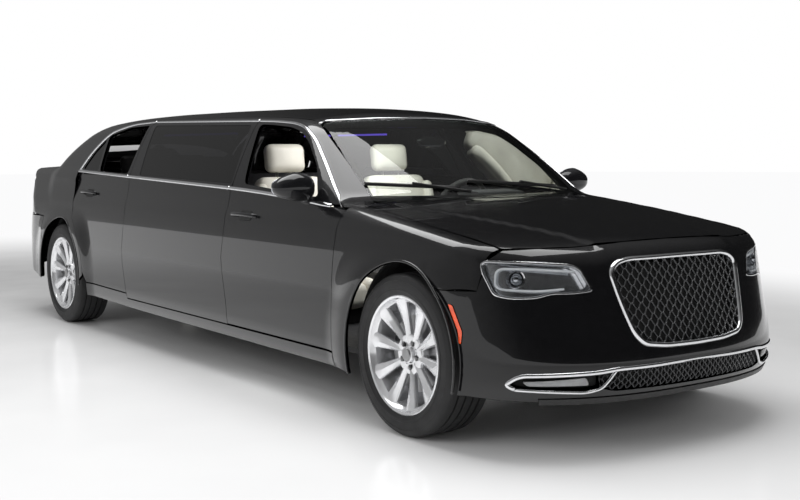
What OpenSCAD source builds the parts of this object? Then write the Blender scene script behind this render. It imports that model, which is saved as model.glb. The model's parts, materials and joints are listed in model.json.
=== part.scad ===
/* [Body] */
// Distance between the front and rear axles
wheelbase = 4310; // [4100:10:4500]
// Distance from the middle of the car to the front axle
front_axle_x = 2270; // [2250:5:2290]
// Half width at the wheel flares
flare_y = 951; // [945:1:958]
// Half width of the roof panel
roof_half_w = 590; // [560:5:610]
// Gap round the doors, hood and trunk lid
shut_gap = 8; // [7:0.5:10]

/* [Panels] */
// Thickness of bumper covers, fenders and quarter panels
panel_t = 45; // [30:5:60]
// Whole thickness of a door below its window
door_t = 110; // [90:5:120]
// Thickness of door frames and roof rails
frame_t = 38; // [30:2:45]
// Thickness of the outer layer of a door, which has the full outline
skin_t = 14; // [12:1:18]
// Thickness of window glass
glass_t = 6; // [5:1:8]

/* [Wheels] */
// Outer radius of a tyre
tyre_r = 364; // [355:1:370]
// Width of a tyre
tyre_w = 245; // [225:5:255]
// Radius of the rim's flange
rim_r = 270; // [262:1:275]
// Distance from the middle of the car to the middle of a wheel
wheel_y = 805; // [795:1:810]
// Radius of the wheel arch openings
arch_r = 408; // [402:1:415]
// Distance from the middle of the car to the steering pivot
kingpin_y = 745; // [735:1:750]

/* [Hidden] */
$fn = 48;
rear_axle_x = front_axle_x - wheelbase;
axle_z = tyre_r;
far = 2000;
eps = 0.01;

// ---- Body surfaces -----------------------------------------------------------------------

// Body side: [height, half width]
SIDE = [[150, 860], [200, 885], [260, 915], [360, 925], [600, 918], [800, 905], [900, 893],
        [960, 873], [1030, 853], [1110, 845], [1140, 805], [1170, 720], [1210, 560]];
// Nose on the centre line: [height, distance ahead of the middle]
NOSE = [[150, 3020], [200, 3070], [250, 3110], [304, 3140], [400, 3150], [480, 3125],
        [550, 3100], [650, 3070], [782, 3030], [840, 2990], [900, 2900], [1000, 2800]];
// Tail on the centre line: [height, distance behind the middle]
TAIL = [[150, 2950], [250, 3040], [360, 3120], [480, 3150], [640, 3145], [760, 3105],
        [800, 3070], [1000, 3055], [1110, 3080], [1160, 3060], [1210, 3000]];
// Upper face of hood and deck on the centre line: [x, height]
TOP = [[-3150, 1090], [-3075, 1135], [-2900, 1150], [-2400, 1158], [-1875, 1160], [-1865, 1390],
       [1540, 1390], [1600, 1042],
       [1900, 1018], [2300, 972], [2700, 912], [2940, 868], [3000, 842], [3150, 800]];
// Lower edge of the body: [x, height]
BOTTOM = [[-3150, 400], [-2800, 330], [-2600, 300], [-1500, 290], [-670, 250], [0, 243],
          [1930, 216], [2700, 222], [3150, 250]];
// Roof on the centre line: [x, height]
ROOF = [[-2700, 1400], [-2000, 1500], [-1600, 1519], [-1200, 1525], [-500, 1525], [300, 1519],
        [700, 1508], [1000, 1488], [1250, 1455], [1900, 1360]];

// Levels, stations and angles at which the surfaces are drawn
Z_LEVELS = [150, 200, 260, 310, 360, 420, 480, 550, 610, 660, 720, 782, 840, 900, 960, 1030,
            1110, 1140, 1170, 1210];
X_SIDE = [-2500, -2370, -2240, -2040, -1840, -1710, -1580, -1450, -700, 300, 1300, 1680, 1810,
          1940, 2070, 2270, 2400];
X_TOP = [-3160, -3110, -3075, -2980, -2900, -2600, -2400, -1875, -1865, -700, 0, 900, 1540, 1600, 1750,
         1900, 2100, 2300, 2500, 2700, 2820, 2940, 3000, 3070, 3160];
ANGLES = [0, 12, 24, 36, 47, 58, 68, 79, 90];
nose_x0 = 2450;
tail_x0 = 2550;
nose_w = 953;
hood_crown = 30;
roof_drop = 75;
tumblehome = 0.5;
belt_y = 845;

function smooth(t) = t <= 0 ? 0 : t >= 1 ? 1 : t * t * (3 - 2 * t);
function wheel_distance(x, z) =
    min(norm([x - front_axle_x, z - axle_z]), norm([x - rear_axle_x, z - axle_z]));
function flare(x, z) = smooth((640 - wheel_distance(x, z)) / 200) * smooth((860 - z) / 200);
function side_y(x, z) =
    let (w = lookup(z, SIDE)) w + max(0, flare_y - w) * flare(x, z);
function belt_z(x) = 1070 - 0.0275 * x - 0.025 * pow(max(0, x - 500), 2) / 1000;
function glass_y(x, z) = belt_y - tumblehome * (z - belt_z(x));
function screen_x(y, z) =
    let (t = (z - 1050) / 383) 1840 - 607 * t + 60 * t * (1 - t) - 420 * pow(y / 1000, 2);
function backlight_x(y, z) =
    let (t = (1500 - z) / 335) -1740 - 770 * t - 350 * t * (1 - t) + 280 * pow(y / 1000, 2);

// A closed skin over rings that all have the same number of points
module loft(rings) {
    n = len(rings[0]);
    m = len(rings);
    points = [for (ring = rings) each ring];
    walls = [for (i = [0 : m - 2], j = [0 : n - 1])
        let (a = i * n + j, b = i * n + (j + 1) % n) each [[a, b, b + n], [a, b + n, a + n]]];
    ends = [[for (j = [n - 1 : -1 : 0]) j], [for (j = [0 : n - 1]) (m - 1) * n + j]];
    polyhedron(points, concat(walls, ends), convexity = 6);
}

// Half of the plan outline at height z, inset by d, from tail to nose
function half_plan(z, d) =
    let (xt = lookup(z, TAIL) - d - tail_x0, xn = lookup(z, NOSE) - d - nose_x0) concat(
        [for (i = [len(ANGLES) - 1 : -1 : 0])
            [-tail_x0 - xt * pow(sin(ANGLES[i]), 0.9), (nose_w - d) * pow(cos(ANGLES[i]), 0.67)]],
        [for (x = X_SIDE) [x, nose_w - d]],
        [for (a = ANGLES) [nose_x0 + xn * pow(sin(a), 0.9), (nose_w - d) * pow(cos(a), 0.77)]]);
function plan_ring(z, d) =
    let (half = [for (p = half_plan(z, d)) [p[0], min(p[1], side_y(p[0], z) - d), z]]) concat(
        half, [for (i = [len(half) - 2 : -1 : 1]) [half[i][0], -half[i][1], z]]);

// Y rows of a section, from left to right
function rows(w, n) = [for (i = [0 : n]) w * (1 - 2 * i / n)];
function top_z(x, y) = lookup(x, TOP) - hood_crown * pow(y / 800, 2);

// Lower body as a solid, inset by d from its outer faces
module lower_body(d) {
    intersection() {
        loft([for (z = Z_LEVELS) plan_ring(z, d)]);
        loft([for (x = X_TOP)
            let (low = d > 0 ? 100 : lookup(x, BOTTOM)) concat(
                [for (y = rows(-1000, 10)) [x, y, top_z(x, y) - d]], [[x, 1000, low], [x, -1000, low]])]);
    }
}

// Cabin above the belt as a solid, inset by d from its outer faces
module upper_body(d) {
    intersection() {
        loft([for (x = [-2750, -2300, -1900, -1600, -1200, -500, 300, 700, 1000, 1250, 1500, 1900])
            let (low = belt_z(x) - 4, edge = lookup(x, ROOF) - roof_drop,
                 w = glass_y(x, edge), rise = roof_drop)
            concat([[x, d - glass_y(x, low), low]],
                [for (y = rows(-w, 10)) [x, y * (w - d) / w,
                    edge - d + rise * (1 - pow(abs(y) / w, 2.4))]],
                [[x, glass_y(x, low) - d, low]])]);
        loft([for (z = [900, 1000, 1100, 1180, 1260, 1340, 1420, 1500, 1580])
            concat([for (y = rows(1000, 12)) [screen_x(y, z) - 1.6 * d, y, z]],
                [for (y = rows(-1000, 12)) [backlight_x(y, z) + 2 * d, y, z]])]);
    }
}

module lower_shell(a, b) {
    difference() {
        lower_body(a);
        lower_body(b);
    }
}

module upper_shell(a, b) {
    difference() {
        upper_body(a);
        upper_body(b);
        translate([0, 0, -3]) upper_body(b);
    }
}

// Everything below the belt
module below_belt()
    side_prism(concat([[3200, 0], [-3200, 0]],
        [for (x = [-3200 : 400 : 3200]) [x, belt_z(x)]]), 0, 735);

// One side of the car: a below the belt, b above it, from depth d inwards
module side_wall(d, a, b) {
    intersection() {
        lower_shell(d, a);
        below_belt();
    }
    upper_shell(d, b);
}

// A freeform panel, kept as one mesh
module panel() { resize([0, 0, 0]) children(); }

module both_sides() {
    children();
    mirror([0, 1, 0]) children();
}

// An outline in side view, pushed through the left half of the car
module side_prism(points, grow = 0, inner = 300)
    translate([0, 1300, 0]) rotate([90, 0, 0]) linear_extrude(1300 - inner)
        offset(delta = grow) polygon(points);

// An outline in front view, [y, z], pushed along the car from x0 to x1
module end_prism(points, x0, x1, grow = 0)
    translate([x0, 0, 0]) rotate([90, 0, 90]) linear_extrude(x1 - x0)
        offset(delta = grow) polygon(points);

// An outline in plan view, pushed up from z0 to z1
module plan_prism(points, z0, z1, grow = 0)
    translate([0, 0, z0]) linear_extrude(z1 - z0) offset(delta = grow) polygon(points);

function mirrored(points) =
    concat(points, [for (i = [len(points) - 1 : -1 : 0]) [-points[i][0], points[i][1]]]);

// ---- Outlines ----------------------------------------------------------------------------

// Top edge of the side windows: [x, z]
DLO = [[-1850, 1112], [-1740, 1255], [-1565, 1392], [-1270, 1449], [-940, 1460], [-215, 1448],
       [500, 1436], [710, 1429], [910, 1415], [1045, 1390], [1185, 1326], [1385, 1190],
       [1627, 1004]];
function dlo_between(x0, x1) = [for (p = DLO) if (p[0] > x0 && p[0] < x1) p];
function arc(cx, cz, r, a0, a1, n) =
    [for (i = [0 : n]) let (a = a0 + (a1 - a0) * i / n) [cx + r * cos(a), cz + r * sin(a)]];

FRONT_DOOR = concat(
    [[1706, 305], [612, 305], [600, 410], [528, 660], [562, 920], [537, 1054], [500, 1436]],
    dlo_between(501, 1600), [[1627, 1004], [1742, 996], [1708, 870], [1692, 675]]);
REAR_DOOR = concat(
    [[-827, 335], [-908, 572], [-876, 892], [-918, 1094], [-939, 1460]],
    [for (i = [len(DLO) - 1 : -1 : 0]) if (DLO[i][0] < -941 && DLO[i][0] > -1800) DLO[i]],
    [[-1842, 1112], [-1850, 960], [-1838, 815]],
    [for (p = arc(rear_axle_x, axle_z, 475, 62, 6, 6)) p], [[-1510, 345]]);
FRONT_WINDOW = [[665, 1082], [1440, 1032], [1330, 1178], [1160, 1300], [1030, 1362], [890, 1388],
                [700, 1402], [550, 1408]];
REAR_WINDOW = [[-965, 1112], [-1460, 1124], [-1550, 1366], [-1265, 1421], [-965, 1430]];
CENTER_WINDOW = [[-763, 1108], [518, 1082], [452, 1404], [-858, 1426]];
HOOD = [[2944, 0], [2938, 250], [2905, 500], [2850, 660], [2775, 788], [2300, 805], [1762, 770],
        [1762, 690], [1850, 420], [1890, 0]];
trunk_edge_x = -2575;
trunk_half_w = 640;
trunk_low_z = 775;
seam_z = 685;
HEADLAMP = [[862, 800], [848, 812], [705, 807], [562, 795], [525, 777], [488, 690], [568, 683],
            [654, 684], [713, 667], [790, 664], [837, 675], [860, 764]];
TAIL_LAMP = [[670, 800], [905, 780], [905, 1070], [690, 1085]];
GRILLE = [[0, 803], [292, 802], [350, 790], [384, 762], [366, 663], [344, 571], [325, 510],
          [291, 474], [178, 460], [0, 457]];
LOWER_GRILLE = [[0, 372], [430, 375], [800, 352], [775, 300], [560, 290], [520, 270], [0, 268]];
WINDSHIELD = [[0, 1436], [300, 1431], [560, 1416], [606, 1400], [650, 1215], [700, 1010], [0, 1010]];
BACKLIGHT = [[0, 1486], [300, 1479], [520, 1452], [575, 1425], [640, 1172], [0, 1172]];

// ---- Outer panels ------------------------------------------------------------------------

module wheel_arches(r = arch_r)
    for (x = [front_axle_x, rear_axle_x]) translate([x, 0, axle_z + 6]) rotate([90, 0, 0])
        cylinder(h = 2200, r = r, center = true, $fn = 40);

module door_openings() {
    both_sides() {
        side_prism(FRONT_DOOR, shut_gap);
        side_prism(REAR_DOOR, shut_gap);
    }
}

module hood_opening()
    plan_prism(concat(HOOD, [for (i = [len(HOOD) - 2 : -1 : 1]) [HOOD[i][0], -HOOD[i][1]]]),
        820, 1400, shut_gap);

module trunk_opening() {
    g = shut_gap;
    translate([-3300, -trunk_half_w - g, trunk_low_z - g])
        cube([trunk_edge_x + g + 3300, 2 * (trunk_half_w + g), 900]);
}

module lamp_openings() {
    both_sides() end_prism(HEADLAMP, 2600, 3300);
    both_sides() end_prism(TAIL_LAMP, -3300, -2760);
}

module grille_openings() {
    end_prism(mirrored(GRILLE), 2600, 3300);
    end_prism(mirrored(LOWER_GRILLE), 2600, 3300);
}

// Height at which the fender ends and the windshield pillar begins
pillar_z = 1012;

module front_fenders() {
    color("black") panel() difference() {
        intersection() {
            lower_shell(0, panel_t);
            translate([1600, -far, 216]) cube([1230, 2 * far, 900]);
        }
        translate([front_axle_x, -far, 0]) cube([far, 2 * far, seam_z]);
        translate([1500, -far, 1006]) cube([130, 2 * far, 200]);
        translate([1500, -far, 0]) cube([202, 2 * far, 300]);
        translate([1500, -700, 0]) cube([2000, 1400, 1500]);
        // Room for the foot of the windshield pillar
        intersection() {
            upper_body(-1);
            translate([1500, -far, pillar_z - 1]) cube([500, 2 * far, 300]);
        }
        translate([2560, -far, 0]) cube([900, 2 * far, seam_z + 2]);
        door_openings();
        hood_opening();
        lamp_openings();
        wheel_arches();
    }
}

module center_panels() {
    color("black") panel() both_sides() difference() {
        intersection() {
            side_wall(0, 60, frame_t);
            side_prism(concat([[-1000, 345], [-830, 345], [-830, 302], [700, 302]],
                [for (x = [700, 500, -215, -940, -1000]) [x, lookup(x, DLO)]]),
                0, roof_half_w + 3);
        }
        side_prism(FRONT_DOOR, shut_gap);
        side_prism(REAR_DOOR, shut_gap);
        side_prism(CENTER_WINDOW);
    }
}

module quarter_panels() {
    color("black") panel() both_sides() difference() {
        union() {
            intersection() {
                lower_shell(0, panel_t);
                translate([-3200, 0, 290]) cube([3200 - 1513, far, 900]);
            }
            intersection() {
                upper_shell(0, frame_t);
                side_prism([[-2700, 1050], [-1853, 1050], [-1853, 1296], [-1930, 1380],
                    [-1900, 1420], [-2000, 1460], [-2700, 1460]], 0, 0);
            }
        }
        side_prism(REAR_DOOR, shut_gap);
        translate([-3300, -100, 0]) cube([3000, 700, 1600]);
        translate([-1853, 0, 1110]) cube([400, far, 300]);
        translate([-3300, 0, 0]) cube([3300 - 2450, far, seam_z + 90]);
        trunk_opening();
        lamp_openings();
        end_prism(mirrored(BACKLIGHT), -2800, -1600);
        wheel_arches();
    }
}

module roof_rails() {
    color("black") panel() both_sides() difference() {
        intersection() {
            upper_shell(0, frame_t);
            translate([-1850, roof_half_w + 3, 0]) cube([3700, 400, far]);
        }
        side_prism(concat([[-1860, 900]], DLO, [[1627, 900]]), shut_gap, 0);
        translate([1600, 0, 0]) cube([400, far, pillar_z]);
        end_prism(mirrored(WINDSHIELD), 900, 2000);
    }
}

module roof_panel() {
    color("black") panel() intersection() {
        upper_shell(0, 25);
        difference() {
            translate([-1900, -roof_half_w, 1380]) cube([3200, 2 * roof_half_w, 200]);
            end_prism(mirrored(WINDSHIELD), 900, 2000, 2);
            end_prism(mirrored(BACKLIGHT), -2800, -1600, 2);
        }
    }
}

module front_bumper() {
    color("black") panel() difference() {
        intersection() {
            lower_shell(0, panel_t);
            translate([front_axle_x, -far, 200]) cube([1000, 2 * far, 700]);
        }
        difference() {
            translate([2200, -far, seam_z]) cube([630, 2 * far, 400]);
            translate([2700, -480, 0]) cube([600, 960, far]);
        }
        translate([2200, -far, 0]) cube([385, 2 * far, 290]);
        hood_opening();
        lamp_openings();
        grille_openings();
        wheel_arches();
    }
}

module rear_bumper() {
    color("black") panel() difference() {
        intersection() {
            lower_shell(0, panel_t);
            translate([-3300, -far, 250]) cube([3300 - 2450 - 3, 2 * far, seam_z + 87 - 250]);
        }
        translate([-3300, -330, 250]) cube([300, 660, 110]);
        wheel_arches();
    }
}

module grille() {
    color("silver") panel() intersection() {
        lower_shell(6, 40);
        difference() {
            end_prism(mirrored(GRILLE), 2800, 3300, -2);
            for (i = [-5 : 5]) translate([2800, -260, 626 + 26 * i]) cube([500, 520, 12]);
        }
    }
}

module lower_grille() {
    color("dimgray") panel() intersection() {
        lower_shell(10, 40);
        difference() {
            end_prism(mirrored(LOWER_GRILLE), 2700, 3300, -2);
            for (i = [0 : 2]) translate([2800, -470, 290 + 28 * i]) cube([500, 940, 20]);
        }
    }
}

module cowl() {
    color("black") {
        panel() intersection() {
            lower_shell(4, 34);
            difference() {
                plan_prism([[1762, 745], [1762, -745], [1900, -420], [1945, 0], [1900, 420]], 900, 1100, 0);
                hood_opening();
                upper_body(0);
            }
        }
        // Bulkhead between the engine bay and the cabin
        translate([1598, -640, 300]) cube([30, 1280, 640]);
        translate([1598, -690, 940]) cube([150, 1380, 24]);
    }
}

module rear_deck() {
    color("black") panel() difference() {
        intersection() {
            lower_shell(0, 30);
            translate([trunk_edge_x + shut_gap + 2, -597, 1050]) cube([150, 1194, 200]);
        }
        upper_body(-1);
    }
}

// ---- Lamps and glass ---------------------------------------------------------------------

module headlamps() {
    color("whitesmoke") panel() both_sides() intersection() {
        lower_shell(2, 60);
        end_prism(HEADLAMP, 2600, 3300, -3);
    }
}

module tail_lamps() {
    color("darkred") panel() both_sides() intersection() {
        lower_shell(0, 50);
        difference() {
            end_prism(TAIL_LAMP, -3300, -2763, -3);
            trunk_opening();
        }
    }
}

module windshield() {
    color("paleturquoise") panel() intersection() {
        upper_shell(3, 3 + glass_t);
        end_prism(mirrored(WINDSHIELD), 900, 2000, -3);
    }
}

module rear_window() {
    color("dimgray") panel() intersection() {
        upper_shell(3, 3 + glass_t);
        end_prism(mirrored(BACKLIGHT), -2800, -1600, -3);
    }
}

module side_glass(outline) panel() intersection() {
    upper_shell(12, 12 + glass_t);
    side_prism(outline, -2, 0);
}

module center_windows() color("dimgray") both_sides() side_glass(CENTER_WINDOW);
module left_front_glass() color("dimgray") side_glass(FRONT_WINDOW);
module left_rear_glass() color("dimgray") side_glass(REAR_WINDOW);

// ---- Doors, hood and trunk lid -----------------------------------------------------------

handle_z = [912, 968];
handle_x = [788, -1568];
// How far the inside of a door lies within its outer outline
door_step = 20;

module door(outline, window, k) {
    color("black") panel() difference() {
        union() {
            intersection() {
                side_prism(outline, 0, roof_half_w + 12);
                side_wall(0, skin_t, skin_t);
            }
            intersection() {
                side_prism(outline, -door_step, roof_half_w + 12);
                side_wall(skin_t - 1, door_t, frame_t);
            }
            // Handle
            translate([handle_x[k] - 135, side_y(0, handle_z[k]) - 4, handle_z[k] - 14])
                cube([270, 34, 28]);
        }
        side_prism(window, 0, 0);
    }
}

module left_front_door() door(FRONT_DOOR, FRONT_WINDOW, 0);
module right_front_door() mirror([0, 1, 0]) left_front_door();
module left_rear_door() door(REAR_DOOR, REAR_WINDOW, 1);
module right_rear_door() mirror([0, 1, 0]) left_rear_door();

module left_mirror() {
    color("black") {
        translate([1385, 946, 1085]) scale([0.66, 1, 0.72]) sphere(r = 114, $fn = 32);
        // Foot on the door
        translate([1350, 868, 985]) cube([70, 42, 60]);
    }
}
module right_mirror() mirror([0, 1, 0]) left_mirror();

module hood() {
    color("black") panel() difference() {
        intersection() {
            lower_shell(0, 36);
            plan_prism(concat(HOOD, [for (i = [len(HOOD) - 2 : -1 : 1]) [HOOD[i][0], -HOOD[i][1]]]),
                820, 1400);
        }
        upper_body(0);
    }
}

module trunk_lid() {
    color("black") panel() intersection() {
        lower_shell(0, 36);
        translate([-3300, -trunk_half_w, trunk_low_z])
            cube([trunk_edge_x + 3300, 2 * trunk_half_w, 900]);
    }
}

plate_x = -3118;
plate_z = 880;
plate_hole_r = 3.2;
plate_holes_y = 178;
module plate_bracket() {
    color("silver") difference() {
        translate([plate_x, -170, plate_z - 60]) cube([12, 340, 120]);
        for (s = [-1, 1]) translate([plate_x + 6, s * plate_holes_y / 2, plate_z]) rotate([0, 90, 0])
            cylinder(h = 40, r = plate_hole_r, center = true);
    }
}

// ---- Structure underneath ----------------------------------------------------------------

floor_z = 250;
jack_x = 1300;
jack_y = 640;
jack_z = 238;
tow_eye_y = 300;
tow_eye_z = 328;
tow_eye_r = 9;
boot_floor_z = 420;

module floor_pan() {
    color("dimgray") {
        translate([-1612, -700, floor_z]) cube([3242, 1400, 30]);
        // Raised floor over the rear axle and under the boot
        translate([-1650, -494, floor_z]) cube([40, 988, boot_floor_z - floor_z + 30]);
        translate([-2950, -440, boot_floor_z]) cube([1310, 880, 30]);
        // Front rails
        for (s = [-1, 1]) translate([1629, s * 400 - 40, floor_z]) cube([1221, 80, 120]);
        // Bumper beam
        translate([2830, -560, 420]) cube([40, 1120, 120]);
        // Jack pads
        for (x = [-jack_x, jack_x], y = [-jack_y, jack_y])
            translate([x - 50, y - 35, jack_z]) cube([100, 70, floor_z - jack_z + 1]);
        // Front cross member with the socket of the tow eye
        difference() {
            translate([2750, -440, floor_z]) cube([100, 880, 170]);
            translate([2810, -tow_eye_y, tow_eye_z]) rotate([0, 90, 0]) cylinder(h = 60, r = tow_eye_r);
        }
    }
}

module sills() {
    color("black") panel() both_sides() difference() {
        intersection() {
            lower_body(0);
            translate([-1510, 700, 200]) cube([3370, far, 97 + 40]);
        }
        lower_body(200);
        side_prism(FRONT_DOOR, shut_gap, 0);
        side_prism(REAR_DOOR, shut_gap, 0);
        translate([-827 - 5, 700, 297]) cube([1460, far, 200]);
        translate([1700, 700, 213]) cube([200, far, 400]);
        wheel_arches(arch_r + 20);
    }
}

module wheel_housings() {
    color("black") for (x = [front_axle_x, rear_axle_x], s = [-1, 1]) {
        inner = x > 0 ? 452 : 500;
        translate([x, s * (inner + 855) / 2, axle_z + 6]) rotate([90, 0, 0]) difference() {
            cylinder(h = 855 - inner, r = arch_r + 24, center = true);
            cylinder(h = far, r = arch_r + 14, center = true);
            translate([-far / 2, -far - 40, -far / 2]) cube([far, far, far]);
        }
    }
}

module engine_block() color("dimgray") translate([1760, -290, 300]) cube([900, 580, 520]);

module fuel_tank() color("dimgray") translate([-1900, -480, 290]) cube([220, 960, 120]);

module exhaust() {
    color("silver") for (s = [-1, 1]) {
        translate([-1560, s * 250, 215]) rotate([0, 90, 0]) cylinder(h = 3000, r = 28);
        translate([-2950, s * 520, 330]) rotate([0, 90, 0]) cylinder(h = 380, r = 75);
        translate([-3060, s * 520, 330]) rotate([0, 90, 0]) cylinder(h = 120, r = 42);
    }
}

module front_subframe() {
    color("dimgray") {
        translate([front_axle_x - 260, -420, 165]) cube([520, 840, 75]);
        for (s = [-1, 1]) {
            translate([front_axle_x - 35, s > 0 ? 400 : -kingpin_y - 20, 150])
                cube([70, kingpin_y + 20 - 400, 34]);
            translate([front_axle_x, s * kingpin_y, 184 - eps]) cylinder(h = 14, r = 14);
        }
    }
}

module rear_axle() {
    color("dimgray") {
        translate([rear_axle_x - 200, -430, 190]) cube([400, 860, 60]);
        translate([rear_axle_x - 120, -130, 249]) cube([240, 260, 165]);
        for (s = [-1, 1]) {
            translate([rear_axle_x, s * 716, axle_z]) rotate([s * 90, 0, 0])
                cylinder(h = 596, r = 24);
            translate([rear_axle_x - 45, s > 0 ? 430 - 1 : -690, 200]) cube([90, 261, 36]);
            translate([rear_axle_x - 45, s > 0 ? 640 : -690, 200]) cube([90, 50, 250]);
        }
    }
}

// ---- Wheels and steering -----------------------------------------------------------------

// Half distance between the flanges of a rim, less play
bead_y = 97;

// Section of a tyre: [radius, distance from its middle]
function tyre_section() =
    let (r = tyre_r, h = tyre_w / 2) [
        [rim_r - 14, bead_y], [rim_r + 1, bead_y], [rim_r + 1, h - 6], [rim_r + 40, h], [r - 38, h - 3], [r - 16, h - 14],
        [r - 5, h - 32], [r, h - 60]];
module tyre(x, y) {
    half = tyre_section();
    n = len(half);
    color([0.05, 0.05, 0.05]) translate([x, y, axle_z]) rotate([90, 0, 0])
        rotate_extrude($fn = 96) polygon(concat(half,
            [for (i = [n - 1 : -1 : 0]) [half[i][0], -half[i][1]]]));
}

spokes = 10;
hub_y = 18;
module rim(x, y) {
    s = sign(y);
    color("silver") translate([x, y, axle_z]) rotate([s > 0 ? -90 : 90, 0, 0]) {
        // Barrel; +Z points outboard here
        rotate_extrude($fn = 96) polygon([[rim_r - 15, -110], [rim_r, -112], [rim_r, -100],
            [rim_r - 15.5, -98], [rim_r - 15.5, 98], [rim_r, 100], [rim_r, 113], [rim_r - 16, 112],
            [rim_r - 26, 90], [rim_r - 26, -90]]);
        for (i = [0 : spokes - 1]) rotate([0, 0, 360 / spokes * i])
            translate([60, -16, 62]) cube([rim_r - 60 - 20, 32, 30]);
        translate([0, 0, hub_y]) cylinder(h = 78, r = 74);
        translate([0, 0, -80]) cylinder(h = hub_y + 80, r = 40);
        // Brake disc
        translate([0, 0, -85]) cylinder(h = 26, r = 163);
    }
}

module front_left_tyre() tyre(front_axle_x, wheel_y);
module front_right_tyre() tyre(front_axle_x, -wheel_y);
module rear_left_tyre() tyre(rear_axle_x, wheel_y);
module rear_right_tyre() tyre(rear_axle_x, -wheel_y);
module front_left_rim() rim(front_axle_x, wheel_y);
module front_right_rim() rim(front_axle_x, -wheel_y);
module rear_left_rim() rim(rear_axle_x, wheel_y);
module rear_right_rim() rim(rear_axle_x, -wheel_y);

module left_knuckle() {
    color("dimgray") translate([front_axle_x, 0, 0]) difference() {
        translate([-55, kingpin_y - 85, 205]) cube([110, 50, 330]);
        translate([0, kingpin_y, axle_z]) rotate([90, 0, 0]) cylinder(h = 200, r = 45, center = true);
    }
}
module right_knuckle() mirror([0, 1, 0]) left_knuckle();

steer_x = 1050;
steer_y = 380;
steer_z = 925;
steer_tilt = 25;
module steering_wheel() {
    color([0.08, 0.08, 0.08]) translate([steer_x, steer_y, steer_z]) rotate([0, -90 + steer_tilt, 0]) {
        rotate_extrude($fn = 64) translate([178, 0]) circle(r = 15);
        for (a = [0, 180, 90]) rotate([0, 0, a]) translate([50, -18, -10]) cube([122, 36, 18]);
        translate([0, 0, -30]) cylinder(h = 40, r = 62);
        translate([0, 0, -120]) cylinder(h = 100, r = 22);
    }
}

// ---- Interior ----------------------------------------------------------------------------

// A block with a leaning outline in side view: [x, z] points, between y0 and y1
module seat_block(points, y0, y1)
    translate([0, y1, 0]) rotate([90, 0, 0]) linear_extrude(y1 - y0) polygon(points);

module front_seat(y) {
    color("beige") {
        seat_block([[400, 330], [930, 360], [950, 500], [420, 460]], y - 255, y + 255);
        seat_block([[270, 400], [400, 420], [300, 1120], [180, 1100]], y - 250, y + 250);
        seat_block([[160, 1140], [270, 1150], [250, 1310], [150, 1300]], y - 140, y + 140);
        seat_block([[210, 1090], [240, 1090], [225, 1200], [200, 1200]], y - 50, y + 50);
        translate([430, y - 200, 280]) cube([420, 400, 90]);
    }
}
module left_front_seat() front_seat(steer_y);
module right_front_seat() front_seat(-steer_y);

module dashboard() {
    color([0.1, 0.1, 0.1]) {
        seat_block([[1240, 760], [1330, 700], [1590, 700], [1590, 1000], [1450, 1012], [1240, 985]],
            -635, 635);
        // Centre console
        seat_block([[560, 280], [1330, 280], [1330, 705], [1180, 690], [1050, 560], [560, 540]],
            -100, 100);
    }
}

module partition() {
    color([0.12, 0.11, 0.1]) difference() {
        translate([-40, -640, 280]) cube([50, 1280, 840]);
        translate([-100, -480, 860]) cube([200, 960, 180]);
    }
}

module bar_cabinet() {
    color("black") translate([-800, -695, 281]) difference() {
        cube([740, 230, 519]);
        translate([30, 30, 300]) cube([680, 300, 250]);
    }
}

module side_bench() {
    color("black") {
        translate([-1110, 300, 281]) cube([1020, 390, 170]);
        translate([-1110, 600, 440]) cube([1020, 90, 420]);
    }
}

module rear_bench() {
    color("black") {
        translate([-1600, -600, 300]) cube([480, 1200, 170]);
        seat_block([[-1640, 452], [-1500, 452], [-1610, 1090], [-1760, 1090]], -480, 480);
    }
}

floor_pan();
sills();
front_fenders();
center_panels();
quarter_panels();
roof_rails();
roof_panel();
front_bumper();
rear_bumper();
grille();
lower_grille();
cowl();
rear_deck();
headlamps();
tail_lamps();
windshield();
rear_window();
center_windows();
dashboard();
left_front_seat();
right_front_seat();
partition();
bar_cabinet();
side_bench();
rear_bench();
engine_block();
exhaust();
fuel_tank();
front_subframe();
rear_axle();
wheel_housings();
hood();
trunk_lid();
plate_bracket();
left_front_door();
right_front_door();
left_rear_door();
right_rear_door();
left_front_glass();
left_rear_glass();
left_mirror();
right_mirror();
steering_wheel();
left_knuckle();
right_knuckle();
front_left_tyre();
front_right_tyre();
rear_left_tyre();
rear_right_tyre();
front_left_rim();
front_right_rim();
rear_left_rim();
rear_right_rim();
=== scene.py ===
"""The stretch limousine's looks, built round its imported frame."""

import json
import math

import bmesh
import bpy
import numpy as np
from mathutils import Matrix, Vector
from mathutils.geometry import delaunay_2d_cdt


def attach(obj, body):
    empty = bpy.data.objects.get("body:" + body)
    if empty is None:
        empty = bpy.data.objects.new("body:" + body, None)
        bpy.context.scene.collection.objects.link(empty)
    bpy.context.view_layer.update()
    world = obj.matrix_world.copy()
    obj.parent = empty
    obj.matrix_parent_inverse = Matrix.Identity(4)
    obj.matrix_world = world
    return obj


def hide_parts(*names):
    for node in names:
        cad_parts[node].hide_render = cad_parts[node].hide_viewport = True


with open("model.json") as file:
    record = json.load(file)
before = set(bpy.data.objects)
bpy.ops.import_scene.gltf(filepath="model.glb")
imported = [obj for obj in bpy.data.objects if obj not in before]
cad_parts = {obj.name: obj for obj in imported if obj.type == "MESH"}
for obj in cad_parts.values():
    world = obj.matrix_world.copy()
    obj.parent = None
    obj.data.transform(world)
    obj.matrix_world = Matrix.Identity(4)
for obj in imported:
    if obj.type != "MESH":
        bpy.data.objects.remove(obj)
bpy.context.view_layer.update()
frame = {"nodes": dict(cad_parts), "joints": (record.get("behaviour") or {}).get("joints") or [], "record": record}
JOINTS = {joint["name"]: joint for joint in frame["joints"]}


# ---- Sizes, in metres ---------------------------------------------------------------------

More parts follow.
